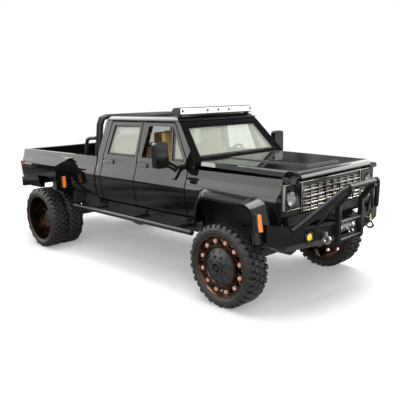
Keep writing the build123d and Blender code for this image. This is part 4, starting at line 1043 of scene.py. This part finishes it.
@dataclass(frozen=True)
class FrontEnd:
    """Grille, lamps, bumper and brush guard.

    Attributes:
        face: Station of the plate behind the grille.
        reach: Station of the grille bars' fronts.
        half_width: Half width of the grille.
        rows: Heights of the rows of cells.
        columns: Cells across the grille.
        bezel: Inner and outer edge of a lamp bezel.
        bezel_low: Foot of the bezel.
        top: Top of the bright frame.
        lamp: Distance from the middle and height of a headlamp.
        lamp_radius: Its radius.
        cell_gap: Gap between a cell's strips and the middle of the post beside it.
        fog_reach: Distance of a fog lamp from the middle.
        fog_wing: The way a fog lamp faces, on the left.
        wing_bolt: Place of the bolt on the bumper's left wing.
        wing: The way that wing faces.
        mount_bolt: Station and distance from the middle of the guard's mounting bolts.
        mount_heights: Heights of those bolts.
        rope: Station and height of the winch's drum.
        rope_start: Distance of the first turn from the middle.
        rope_turns: Turns of rope on it.
        rope_pitch: Distance from turn to turn.
    """

    face: float = 11.5
    reach: float = 11.95
    half_width: float = 9.8
    rows: tuple[float, ...] = (18.95, 20.2, 21.45, 22.7)
    columns: int = 8
    bezel: tuple[float, float] = (10.6, 15.15)
    bezel_low: float = 19.35
    top: float = 24.05
    lamp: tuple[float, float] = (13.2, 21.5)
    lamp_radius: float = 1.25
    cell_gap: float = 0.16
    fog_reach: float = 10.65
    fog_wing: tuple[float, float] = (9.3, 2.0)
    wing_bolt: tuple[float, float, float] = (12.2, 16.38, 15.4)
    wing: tuple[float, float] = (4.7, 5.0)
    mount_bolt: tuple[float, float] = (16.05, 4.0)
    mount_heights: tuple[float, ...] = (14.0, 17.3)
    rope: tuple[float, float] = (14.1, 14.4)
    rope_start: float = -1.82
    rope_turns: int = 14
    rope_pitch: float = 0.28

    def build(self) -> None:
        """All pieces of the nose."""
        self._grille()
        for side in SIDES.values():
            self._headlamp(side)
        Form().node("headlamp_bezels").bevel(0.05).piece("bezels", GLOSS_BLACK, ROOT, ["headlamp_bezels"])
        self._fog_lamps()
        self._bumper()

    def _grille(self) -> None:
        """Pairs of bright strips between dark posts, and the bright frame round the front."""
        strips, posts = Form(), Form()
        pitch = 2 * self.half_width / self.columns
        back, plate, frame_front = self.face + 0.14, self.face + 0.02, self.reach + 0.05
        foot, head = self.rows[0] - 0.5, self.rows[-1] + 0.5
        for row in self.rows:
            for column in range(self.columns):
                left = column * pitch - self.half_width + self.cell_gap
                right = left + pitch - 2 * self.cell_gap
                strips.box((back, self.reach), (left, right), (row - 0.4, row - 0.18))
                strips.box((back, self.reach - 0.05), (left, right), (row + 0.2, row + 0.3))
                strips.box((back, self.reach - 0.06), (left, left + 0.09), (row - 0.36, row + 0.3))
        for column in range(self.columns + 1):
            y = column * pitch - self.half_width
            posts.box((back, self.reach - 0.02), (y - 0.1, y + 0.1), (foot, head))
        for row in self.rows[1:]:
            across = (-self.half_width, self.half_width)
            posts.box((back, self.reach - 0.16), across, (row - 0.66, row - 0.6))
        inner, outer = self.bezel
        strips.box((back, frame_front), (-outer, outer), (self.top - 0.16, self.top))
        strips.pair((plate, frame_front), (outer - 0.14, outer), (self.bezel_low, self.top))
        strips.pair((plate, frame_front), (inner, outer), (self.bezel_low, self.bezel_low + 0.18))
        strips.pair((back, self.reach), (self.half_width + 0.2, self.half_width + 0.32), (foot, self.top))
        strips.bevel(0.03).piece("grille_strips", CHROME, ROOT, ["grille_bars"])
        posts.piece("grille_posts", GLOSS_BLACK, ROOT)

    def _headlamp(self, side: int) -> None:
        """Ring, silvered bowl, bulb and a clear domed lens.

        Args:
            side: 1 on the left, -1 on the right.
        """
        y, z = self.lamp
        name = "left" if side > 0 else "right"
        place = at((self.face + 0.08, side * y, z), (1, 0, 0))
        radius = self.lamp_radius
        hollow = [(0.0, 0.02), (0.5, 0.04), (radius * 0.8, 0.16), (radius, 0.4), (radius + 0.02, 0.0)]
        bowl = Form().spun(place, hollow, 40, closed=False)
        bowl.cone(at((self.face + 0.1, side * y, z), (1, 0, 0)), 0.22, 0.22, 0.12, 12)
        bowl.piece(f"headlamp_bowl_{name}", SILVERED, ROOT, ["headlamps"])
        ring = [(radius - 0.02, 0.3), (radius + 0.02, 0.46), (radius + 0.16, 0.5), (radius + 0.24, 0.36),
                (radius + 0.24, 0.1), (radius - 0.02, 0.1)]
        Form().spun(place, ring, 40).piece(f"headlamp_ring_{name}", DARK_CHROME, ROOT)
        dome = [(radius, 0.34), (radius * 0.85, 0.5), (radius * 0.5, 0.62), (0.0, 0.66)]
        lens = Form().spun(place, dome, 40, closed=False)
        lens.piece(f"headlamp_lens_{name}", LENS, ROOT)

    def _fog_lamps(self) -> None:
        """Yellow lenses in dark rings, flush in the bumper's recesses."""
        low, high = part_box("fog_lamps")
        centre_x, centre_z = (low.x + high.x) / 2 / MM - AXLE_X, (low.z + high.z) / 2 / MM
        face = Vector((*self.fog_wing, 0)).normalized()
        dome = [(0.7, -0.1), (0.7, 0.06), (0.58, 0.18), (0.3, 0.27), (0.0, 0.29)]
        rim = [(0.68, -0.14), (0.68, 0.2), (0.8, 0.3), (1.0, 0.26), (1.12, 0.08), (1.12, -0.14)]
        for name, side in SIDES.items():
            direction = Vector((face.x, side * face.y, 0))
            place = at((centre_x, side * self.fog_reach, centre_z), direction)
            lens = Form().spun(place, dome, 32, closed=False)
            lens.piece(f"fog_lens_{name}", YELLOW, ROOT, ["fog_lamps"])
            Form().spun(place, rim, 32).piece(f"fog_ring_{name}", GLOSS_BLACK, ROOT)

    def _bumper(self) -> None:
        """Bolts of the bumper and its guard, and the winch's rope and hook."""
        bolts = Form()
        x, y, z = self.wing_bolt
        station, reach = self.mount_bolt
        for side in SIDES.values():
            wing = Vector((self.wing[0], side * self.wing[1], 0)).normalized()
            bolts.cone(at((x, side * y, z), wing), 0.34, 0.14, sides=6)
            for height in self.mount_heights:
                bolts.cone(at((station, side * reach, height), (1, 0, 0)), 0.22, 0.12, sides=6)
        bolts.piece("bumper_bolts", GUARD_BLACK, ROOT)
        turns = Form()
        drum_x, drum_z = self.rope
        section = [(0.8, -0.11), (0.9, -0.07), (0.93, 0.0), (0.9, 0.07), (0.8, 0.11)]
        for turn in range(self.rope_turns):
            place = (drum_x, self.rope_start + turn * self.rope_pitch, drum_z)
            turns.spun(at(place, (0, 1, 0)), section, 20)
        turns.piece("winch_rope", STEEL, ROOT)
        eye = [(0.34, -0.1), (0.52, -0.1), (0.52, 0.1), (0.34, 0.1)]
        hook = Form().spun(at((15.9, 0.0, 13.9), (0, 1, 0)), eye, 20)
        hook.rod((15.0, 0.0, 14.3), (15.6, 0.0, 14.05), 0.14, 8)
        hook.piece("winch_hook", SILVER, ROOT)


@dataclass(frozen=True)
class Glasshouse:
    """Panes and the rubbers that hold them.

    Attributes:
        panes: Solids of the fixed panes.
        rubber_width: Width of a rubber over the pane.
        rubber_height: How far a rubber stands on the pane.
        cab_middle: A point in the middle of the cab, which the panes' inner faces look at.
    """

    panes: tuple[str, ...] = ("windshield", "rear_window", "vent_glass_left", "vent_glass_right",
                              "rear_door_glass_left", "rear_door_glass_right")
    rubber_width: float = 0.34
    rubber_height: float = 0.16
    cab_middle: tuple[float, float, float] = (-29.0, 0.0, 28.0)

    def build(self) -> None:
        """A rubber round every pane."""
        for pane in self.panes:
            self._rubber(pane).piece(f"{pane}_rubber", RUBBER_TRIM, BODY_OF[pane])

    def _rubber(self, pane: str) -> Form:
        """Strip along the pane's edge, raised from its outer face.

        Args:
            pane: The pane's node.

        Returns:
            The strip, in place.
        """
        form = Form().node(pane)
        largest = max(face.calc_area() for face in form.mesh.faces)
        middle = Vector(self.cab_middle)
        outer = next(face for face in form.mesh.faces if face.calc_area() > 0.8 * largest
                     and face.normal.dot(face.calc_center_median() - middle) > 0)
        normal = outer.normal.copy()
        front = [face for face in form.mesh.faces if face.normal.dot(normal) > 0.98]
        others = [face for face in form.mesh.faces if face not in front]
        bmesh.ops.delete(form.mesh, geom=others, context="FACES")
        strip = bmesh.ops.inset_region(form.mesh, faces=front, thickness=self.rubber_width,
                                       use_boundary=True, use_even_offset=True)["faces"]
        bmesh.ops.delete(form.mesh, geom=front, context="FACES")
        raised = bmesh.ops.extrude_face_region(form.mesh, geom=strip)["geom"]
        bmesh.ops.translate(form.mesh, vec=normal * self.rubber_height,
                            verts=[part for part in raised if isinstance(part, bmesh.types.BMVert)])
        bmesh.ops.recalc_face_normals(form.mesh, faces=form.mesh.faces)
        return form.bevel(0.05, 1, 60)


@dataclass(frozen=True)
class Bodywork:
    """Painted shells, with the trim and small parts on them.

    Attributes:
        bed_floor: Height of the load floor.
        bed: Stations of its ends.
        nose_roll: Length and height of the hood's rolled front edge.
        ribs: Ribs across the load floor.
        rib_pitch: Distance from rib to rib.
    """

    bed_floor: float = 17.8
    bed: tuple[float, float] = (-81.5, -46.8)
    nose_roll: tuple[float, float] = (1.6, 1.17)
    ribs: int = 9
    rib_pitch: float = 2.35

    def build(self) -> None:
        """Dress the shells, then add the parts on them."""
        for node in ("cab_shell", "front_door_left", "front_door_right", "rear_door_left", "rear_door_right",
                     "front_fenders", "cargo_bed"):
            Carried(node, BODY_PAINT, 0.14, 3, creased=True).build()
        for node in ("front_flares", "rear_flares"):
            Carried(node, BODY_PAINT, 0.28, 4).build()
        Carried("tailgate", BODY_PAINT, 0.2, 3).build()
        self._hood()
        for node in ("rear_bumper", "mirror_left", "mirror_right"):
            Carried(node, GLOSS_BLACK, 0.12).build()
        Carried("front_panel", SATIN_BLACK, 0.08).build()
        self._mirror_glass()
        self._locks()
        self._bed_ribs()
        self._tailgate_handle()
        self._wheel_houses()

    def _hood(self) -> None:
        """Hood with its front edge rolled over a quarter of an ellipse, and a low raised panel along it."""
        form = Form().node("hood")
        low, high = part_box("hood")
        front, foot = high.x / MM - AXLE_X, low.z / MM
        length, height = self.nose_roll
        for step in range(5):
            form.cut("X", front - length + 0.2 * step)
        for step in (1, 2):
            form.cut("Z", foot + 0.2 * step)
        for vert in form.mesh.verts:
            along, up = vert.co.x - front + length, vert.co.z - foot
            lining = along < length - 0.75 and up < 0.55
            if along > -0.001 and not lining:
                share = math.hypot(along / length, up / height)
                vert.co.x = front - length + along / share
                vert.co.z = foot + up / share
        form.bevel(0.16, 3).piece("hood_dressed", BODY_PAINT, BODY_OF["hood"], ["hood"])
        panel = Form().box((-9.6, 10.2), (-7.2, 7.2), (25.8, 26.5))
        for vert in panel.mesh.verts:
            if vert.co.x > 0:
                vert.co.y *= 0.78
            if vert.co.z > 26:
                vert.co.x = 0.3 + (vert.co.x - 0.3) * 0.93
                vert.co.y *= 0.84
                vert.co.z -= 0.02 * vert.co.x
        panel.bevel(0.22, 4, 5.0).piece("hood_panel_relief", BODY_PAINT, BODY_OF["hood"])

    def _wheel_houses(self) -> None:
        """Tubs over the rear wheels in the bed, liners inboard of all wheels, and the trays between them."""
        rear = REAR_AXLE
        tub = (self.bed_floor - 0.1, self.bed_floor + 3.4)
        tubs = Form().pair((rear - 7.4, rear + 7.4), (10.9, 13.7), tub)
        liners = Form().pair((rear - 8.8, rear + 8.8), (11.1, 11.35), (11.4, self.bed_floor - 1.3))
        liners.pair((rear + 8.6, rear + 8.8), (11.2, 15.0), (12.4, 15.8))
        liners.pair((-9.0, 9.4), (11.6, 11.85), (13.0, 23.2))
        liners.pair((-9.2, -8.9), (11.6, 14.6), (13.0, 21.0))
        liners.pair((-54.5, -10.0), (12.1, 12.4), (11.3, 15.2))
        for vert in tubs.mesh.verts:
            if vert.co.z > self.bed_floor + 3:
                vert.co.x = rear + (vert.co.x - rear) * 0.62
        tubs.bevel(0.5, 4).piece("bed_wheel_tubs", BODY_PAINT, ROOT)
        liners.bevel(0.06).piece("wheel_liners", CHASSIS_BLACK, ROOT)

    def _mirror_glass(self) -> None:
        """Tall mirror and a low one under it in the back of each head."""
        for name, side in SIDES.items():
            form = Form()
            for heights in ((26.6, 30.0), (25.5, 26.4)):
                form.box((-16.6, -16.52), (side * 17.6, side * 20.2), heights)
            form.bevel(0.03).piece(f"mirror_glass_{name}", CHROME, BODY_OF[f"mirror_{name}"])

    def _locks(self) -> None:
        """Lock barrel behind each door handle."""
        for name, side in SIDES.items():
            for door, station in (("front", -25.0), ("rear", -37.8)):
                solid = f"{door}_door_{name}"
                form = Form().cone(at((station, side * 14.7, 24.6), outward(side)), 0.2, 0.14, 0.17, 12)
                form.piece(f"{solid}_lock", DARK_CHROME, BODY_OF[solid])

    def _bed_ribs(self) -> None:
        """Pressed ribs along the load floor."""
        form = Form()
        rear, front = self.bed
        for rib in range(self.ribs):
            y = (rib - self.ribs // 2) * self.rib_pitch
            form.box((rear, front), (y - 0.5, y + 0.5), (self.bed_floor - 0.05, self.bed_floor + 0.22))
        form.bevel(0.12).piece("bed_ribs", BODY_PAINT, ROOT)

    def _tailgate_handle(self) -> None:
        """Escutcheon and lever at the top of the tailgate."""
        form = Form().box((-83.48, -83.38), (-1.9, 1.9), (22.6, 24.2))
        form.box((-83.6, -83.44), (-1.5, 1.5), (23.2, 23.7))
        form.bevel(0.06).piece("tailgate_handle", SATIN_BLACK, BODY_OF["tailgate"])


@dataclass(frozen=True)
class Lamps:
    """Roof light bar, marker lamps and tail lamps.

    Attributes:
        marker_share: Width and height of a marker's lens as shares of its plate.
    """

    marker_share: tuple[float, float] = (0.56, 0.92)

    def build(self) -> None:
        """Dress every lamp away from the nose."""
        Carried("light_bar", SATIN_BLACK, 0.08).build()
        self._light_bar_lens()
        self._markers()
        Carried("tail_lamps", RED, 0.1).build()
        self._tail_wraps()
        self._reversing_lamps()

    def _markers(self) -> None:
        """Narrow amber lenses with round ends, each on its dark plate."""
        Carried("marker_lamps", SATIN_BLACK, 0.05).build()
        lenses = Form().node("marker_lamps")
        for ahead in (True, False):
            for side in SIDES.values():
                verts = [vert for vert in lenses.mesh.verts
                         if (vert.co.x > -20) == ahead and vert.co.y * side > 0]
                spans = [[vert.co[axis] for vert in verts] for axis in range(3)]
                middle = Vector([(min(span) + max(span)) / 2 for span in spans])
                for vert in verts:
                    vert.co.x += 0.08
                    vert.co.y = middle.y + (vert.co.y - middle.y) * self.marker_share[0]
                    vert.co.z = middle.z + (vert.co.z - middle.z) * self.marker_share[1]
        corners_in = [edge for edge in lenses.mesh.edges
                      if abs((edge.verts[0].co - edge.verts[1].co).x) > 0.9 * edge.calc_length()]
        bmesh.ops.bevel(lenses.mesh, geom=corners_in, offset=0.34, offset_type="OFFSET", affect="EDGES",
                        segments=4, profile=0.5, material=-1, clamp_overlap=True)
        lenses.bevel(0.07).piece("marker_lenses", AMBER, ROOT)

    def _tail_wraps(self) -> None:
        """Part of each tail lamp that comes round the corner onto the side."""
        form = Form().pair((-84.05, -82.3), (15.0, 15.55), (17.4, 21.9))
        for vert in form.mesh.verts:
            if abs(vert.co.y) > 15.3 and vert.co.z > 20:
                vert.co.y = math.copysign(15.95, vert.co.y)
        form.bevel(0.14, 3).piece("tail_lamp_wraps", RED, ROOT)

    def _light_bar_lens(self) -> None:
        """White lens, the screws along it, and fins at the back of the housing."""
        Carried("light_bar_lens", CLEAR, 0.05).build()
        low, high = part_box("light_bar_lens")
        front, middle = high.x / MM - AXLE_X, (low.z + high.z) / 2 / MM
        screws = Form()
        for y in (-10.8, -3.4, 0.0, 3.4, 10.8):
            screws.cone(at((front - 0.02, y, middle + 0.05), (1, 0, 0)), 0.3, 0.12, 0.24, 12)
        screws.piece("light_bar_screws", SATIN_BLACK, ROOT)
        fins = Form()
        housing_low, housing_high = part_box("light_bar")
        rear, top = housing_low.x / MM - AXLE_X, housing_high.z / MM
        for fin in range(22):
            y = -10.5 + fin
            fins.box((rear + 0.1, rear + 1.0), (y - 0.12, y + 0.12), (top - 1.3, top - 0.42))
        fins.piece("light_bar_fins", SATIN_BLACK, ROOT)

    def _reversing_lamps(self) -> None:
        """Clear section in each tail lamp."""
        low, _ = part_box("tail_lamps")
        rear, bottom = low.x / MM - AXLE_X, low.z / MM
        form = Form().pair((rear - 0.03, rear + 0.1), (14.05, 15.25), (bottom + 1.6, bottom + 2.4))
        form.bevel(0.04).piece("reverse_lamps", CLEAR, ROOT)


@dataclass(frozen=True)
class Cabin:
    """Seats, dash and wheel, as seen through the open windows and the glass.

    Attributes:
        front_back: Station of the front seat backs' foot.
        rear_back: Station of the rear bench backs' foot.
        seat_top: Height of the front seat backs.
        bench_top: Height of the rear bench backs.
    """

    front_back: float = -24.6
    rear_back: float = -41.2
    seat_top: float = 31.6
    bench_top: float = 30.2

    def _high_backs(self) -> None:
        """High backs that show through the windows, leaning and narrower at the top."""
        form = Form()
        for station, span, top in ((self.front_back, (2.1, 9.9), self.seat_top),
                                   (self.rear_back, (1.2, 10.6), self.bench_top)):
            for side in SIDES.values():
                reach = [side * edge for edge in span]
                part = Form().box((station - 1.1, station + 0.2), reach, (20.0, top))
                middle = side * (span[0] + span[1]) / 2
                for vert in part.mesh.verts:
                    if vert.co.z > top - 1:
                        vert.co.x -= 1.6
                        vert.co.y = middle + (vert.co.y - middle) * 0.78
                form.add(part.bevel(0.45, 4))
        form.piece("high_seat_backs", UPHOLSTERY, ROOT)

    def build(self) -> None:
        """Dress the inside."""
        for node in ("front_seats", "rear_bench"):
            Carried(node, UPHOLSTERY, 0.25, 3).build()
        self._high_backs()
        Carried("dashboard", TAN, 0.2, 3).build()
        Carried("floor_pan", TAN_DARK, 0.08).build()
        Carried("steering_wheel", SATIN_BLACK, 0.05).build()
        cluster = Form().box((-16.75, -16.2), (3.8, 8.6), (24.9, 26.5)).bevel(0.12)
        for y in (5.2, 7.2):
            cluster.cone(at((-16.74, y, 25.7), (-1, 0, 0)), 0.6, 0.06, 0.55, 20)
        cluster.piece("gauges", SATIN_BLACK, ROOT)


@dataclass(frozen=True)
class Underside:
    """Chassis, axles, steps and pipes, with the screws that hold the model together.

    Attributes:
        screws: Stations of the screws.
        screw_height: Height of their seats under the chassis.
    """

    screws: tuple[float, float] = (7.6, -73.0)
    screw_height: float = 10.7

    def build(self) -> None:
        """Dress the chassis."""
        for node in ("chassis_frame", "front_axle_housing", "rear_axle_housing", "leaf_springs", "driveline",
                     "fuel_tank", "engine_block", "shock_absorbers"):
            Carried(node, CHASSIS_BLACK, 0.06).build()
        for node in ("brush_guard", "roll_bar", "side_steps", "front_bumper"):
            Carried(node, GUARD_BLACK, 0.07).build()
        Carried("exhaust", STEEL, 0.05).build()
        for node in ("front_axle_pin", "rear_axle_pin"):
            Carried(node, STEEL, 0.05).build()
        for node in ("winch", "shackles"):
            Carried(node, SILVER, 0.05).build()
        Carried("grille_back", SATIN_BLACK, 0.0).build()
        screws, slots = Form(), Form()
        head = [(0.8, -0.6), (0.8, 0.0), (0.7, 0.12), (0.42, 0.2), (0.0, 0.22)]
        depth = (self.screw_height - 0.25, self.screw_height - 0.1)
        for station in self.screws:
            screws.spun(at((station, 0.0, self.screw_height), (0, 0, -1)), head, 24, closed=False)
            slots.box((station - 0.5, station + 0.5), (-0.09, 0.09), depth)
            slots.box((station - 0.09, station + 0.09), (-0.5, 0.5), depth)
        screws.piece("base_screws", SILVER, ROOT)
        slots.piece("screw_slots", SATIN_BLACK, ROOT)


@dataclass(frozen=True)
class Camera:
    """The photograph's point of view, millimetres and degrees in the row frame."""

    place: tuple[float, float, float] = (99.321, -86.568, 38.94)
    yaw: float = 136.015
    pitch: float = -10.958
    roll: float = -1.398
    lens: float = 47.66

    def build(self) -> bpy.types.Object:
        """Make the camera and give it to the scene.

        Returns:
            The camera.
        """
        yaw, pitch, roll = (math.radians(angle) for angle in (self.yaw, self.pitch, self.roll))
        ahead = Vector((math.cos(pitch) * math.cos(yaw), math.cos(pitch) * math.sin(yaw), math.sin(pitch)))
        level_right = ahead.cross(Vector((0, 0, 1))).normalized()
        level_up = level_right.cross(ahead)
        right = math.cos(roll) * level_right + math.sin(roll) * level_up
        up = -math.sin(roll) * level_right + math.cos(roll) * level_up
        camera = bpy.data.objects.new("camera", bpy.data.cameras.new("camera"))
        bpy.context.scene.collection.objects.link(camera)
        turn = Matrix((right, up, -ahead)).transposed().to_4x4()
        camera.matrix_world = Matrix.Translation(Vector(self.place) * MM) @ turn
        camera.data.lens = self.lens
        camera.data.clip_start, camera.data.clip_end = 0.002, 20.0
        bpy.context.scene.camera = camera
        return camera


@dataclass(frozen=True)
class Card:
    """Card that only reflections see, a dark flag or a bright panel, as in a product studio.

    Attributes:
        place: Its middle, metres.
        aim: Point that it faces, metres.
        size: Width and height, metres.
        strength: Its light, near 0 for a dark flag.
        darkest: Share of its light that is left in its darkest patches.
        patches: Size of its patches, metres.
    """

    place: Point
    aim: Point
    size: tuple[float, float]
    strength: float
    darkest: float = 1.0
    patches: float = 0.05

    def build(self, name: str) -> None:
        """Make the card.

        Args:
            name: Its name on the stage.
        """
        form = bmesh.new()
        bmesh.ops.create_grid(form, x_segments=1, y_segments=1, size=0.5)
        width, height = self.size
        direction = Vector(self.aim) - Vector(self.place)
        turn = direction.to_track_quat("Z", "Y").to_matrix().to_4x4()
        place = Matrix.Translation(Vector(self.place)) @ turn @ Matrix.Diagonal((width, height, 1, 1))
        bmesh.ops.transform(form, matrix=place, verts=form.verts)
        mesh = bpy.data.meshes.new(name)
        form.to_mesh(mesh)
        form.free()
        card = bpy.data.objects.new(name, mesh)
        bpy.context.scene.collection.objects.link(card)
        shader = Shader(name)
        patches = (shader.noise(self.patches / MM, 2.0) * 4.0 - 1.5).clamped()
        light = (patches * (1 - self.darkest) + self.darkest) * self.strength
        glow = shader.node("Emission", Color=(1.0, 0.98, 0.94), Strength=light)
        shader.tree.links.new(glow.outputs[0], shader.output.inputs["Surface"])
        mesh.materials.append(shader.material)
        card.visible_camera = card.visible_diffuse = card.visible_shadow = card.visible_transmission = False


@dataclass(frozen=True)
class Studio:
    """Pale floor, pale surroundings, soft lamps and the cards that the paint reflects.

    Attributes:
        floor_reach: Half the floor's width in metres.
        shade_reach: Radius in metres inside which the floor shows the shadow, and where it has gone.
        shade_lift: Share of white that is left in the shadow.
        sky: Strength of the surroundings as light.
        lamps: Soft lamps, as place, aim, size in metres and power in watts.
        cards: What the gloss of the paint shows.
    """

    floor_reach: float = 3.0
    shade_reach: tuple[float, float] = (0.07, 0.16)
    shade_lift: float = 0.3
    sky: float = 0.5
    lamps: tuple[tuple[Point, Point, float, float], ...] = (
        ((0.02, 0.05, 0.6), (0.0, 0.0, 0.0), 0.5, 5.0),
        ((0.35, -0.35, 0.35), (0.0, 0.0, 0.01), 0.3, 1.2),
    )
    cards: tuple[Card, ...] = (
        Card((-0.56, 0.9, 0.15), (0.0, 0.0, 0.03), (1.15, 0.38), 0.22, 0.1, 0.12),
        Card((-0.68, -0.5, 0.44), (0.0, 0.0, 0.03), (1.2, 0.8), 3.8, 0.75, 0.3),
        Card((-0.62, -0.06, 0.5), (0.0, 0.0, 0.03), (0.35, 0.3), 8.0),
        Card((0.19, 0.35, 0.53), (0.0, 0.0, 0.03), (0.5, 0.44), 0.15, 0.5, 0.1),
        Card((0.27, 0.74, 0.29), (0.0, 0.0, 0.03), (1.05, 0.4), 6.0, 0.8, 0.2),
        Card((0.1, -0.03, 0.0004), (0.1, -0.03, 1.0), (0.1, 0.18), 0.1),
        Card((-0.25, -0.25, 0.0004), (-0.25, -0.25, 1.0), (0.64, 0.5), 0.5, 0.08, 0.03),
        Card((-0.25, 0.25, 0.0004), (-0.25, 0.25, 1.0), (0.64, 0.5), 0.5, 0.08, 0.03),
    )

    def build(self) -> None:
        """Make the floor, the world, the lamps and the cards."""
        self._floor()
        self._world()
        for number, (place, aim, size, power) in enumerate(self.lamps):
            data = bpy.data.lights.new(f"soft_lamp_{number}", "AREA")
            data.energy, data.size = power, size
            lamp = bpy.data.objects.new(data.name, data)
            bpy.context.scene.collection.objects.link(lamp)
            lamp.location = Vector(place)
            lamp.rotation_euler = (Vector(aim) - Vector(place)).to_track_quat("-Z", "Y").to_euler()
        for number, card in enumerate(self.cards):
            card.build(f"studio_card_{number}")

    def _floor(self) -> None:
        """Wide pale floor that keeps the shadow under the truck and is white further out."""
        form = bmesh.new()
        bmesh.ops.create_grid(form, x_segments=1, y_segments=1, size=self.floor_reach)
        mesh = bpy.data.meshes.new("floor")
        form.to_mesh(mesh)
        form.free()
        floor = bpy.data.objects.new("floor", mesh)
        bpy.context.scene.collection.objects.link(floor)
        shader = Shader("pale_floor")
        path = shader.node("LightPath")
        seen = (shader.value(path, "Is Camera Ray") + shader.value(path, "Is Glossy Ray")
                + shader.value(path, "Is Transmission Ray")).clamped()
        shader.surface(Base_Color=(0.9, 0.9, 0.9), Roughness=0.9, Specular_IOR_Level=0.0)
        x, y, _ = shader.axes()
        near, far = self.shade_reach
        distance = (x * x * 0.35 + y * y).root()
        fade = ((distance - near) / (far - near)).clamped()
        outside = (fade * (1 - self.shade_lift) + self.shade_lift) * seen
        white = shader.node("Emission", Color=(1.0, 1.0, 1.0), Strength=1.0)
        both = shader.node("MixShader", Fac=outside)
        shader.tree.links.new(shader.bsdf.outputs[0], both.inputs[1])
        shader.tree.links.new(white.outputs[0], both.inputs[2])
        shader.tree.links.new(both.outputs[0], shader.output.inputs["Surface"])
        mesh.materials.append(shader.material)

    def _world(self) -> None:
        """Even light from all round, and white behind the model."""
        world = bpy.data.worlds.new("surroundings")
        bpy.context.scene.world = world
        world.use_nodes = True
        tree = world.node_tree
        back = tree.nodes["Background"]
        back.inputs["Color"].default_value = (1.0, 1.0, 1.0, 1.0)
        path = tree.nodes.new("ShaderNodeLightPath")
        seen = (Socket(tree, path.outputs["Is Camera Ray"]) + Socket(tree, path.outputs["Is Glossy Ray"])
                + Socket(tree, path.outputs["Is Transmission Ray"])).clamped()
        strength = seen * (1.0 - self.sky) + self.sky
        tree.links.new(strength.socket, back.inputs["Strength"])


def dress_panes() -> None:
    """Give the panes, which keep their own solids, their glazing."""
    for pane in Glasshouse.panes:
        node = NODES[pane]
        node.data.materials.clear()
        node.data.materials.append(GLASS.material())


def wheels() -> list[Wheel]:
    """The truck's four wheel positions.

    Returns:
        Front and rear of the left side, then of the right.
    """
    made: list[Wheel] = []
    for side in SIDES:
        made.append(FrontWheel("front", side, 0.0, FRONT_TYRES, FRONT_TYRE_WIDTH, FRONT_RUBBER))
        made.append(RearWheel("rear", side, REAR_AXLE, REAR_TYRES, REAR_TYRE_WIDTH, REAR_RUBBER))
    return made


def main() -> None:
    """Build the stage and the model's looks in order."""
    logging.basicConfig(level=logging.INFO, format="%(message)s")
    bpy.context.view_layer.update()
    bpy.context.scene.view_settings.view_transform = "Standard"
    Camera().build()
    Studio().build()
    dress_panes()
    for assembly in (Bodywork(), Glasshouse(), Lamps(), Cabin(), FrontEnd(), Underside(), *wheels()):
        assembly.build()
    bpy.context.view_layer.update()


if __name__ == "__main__":
    main()
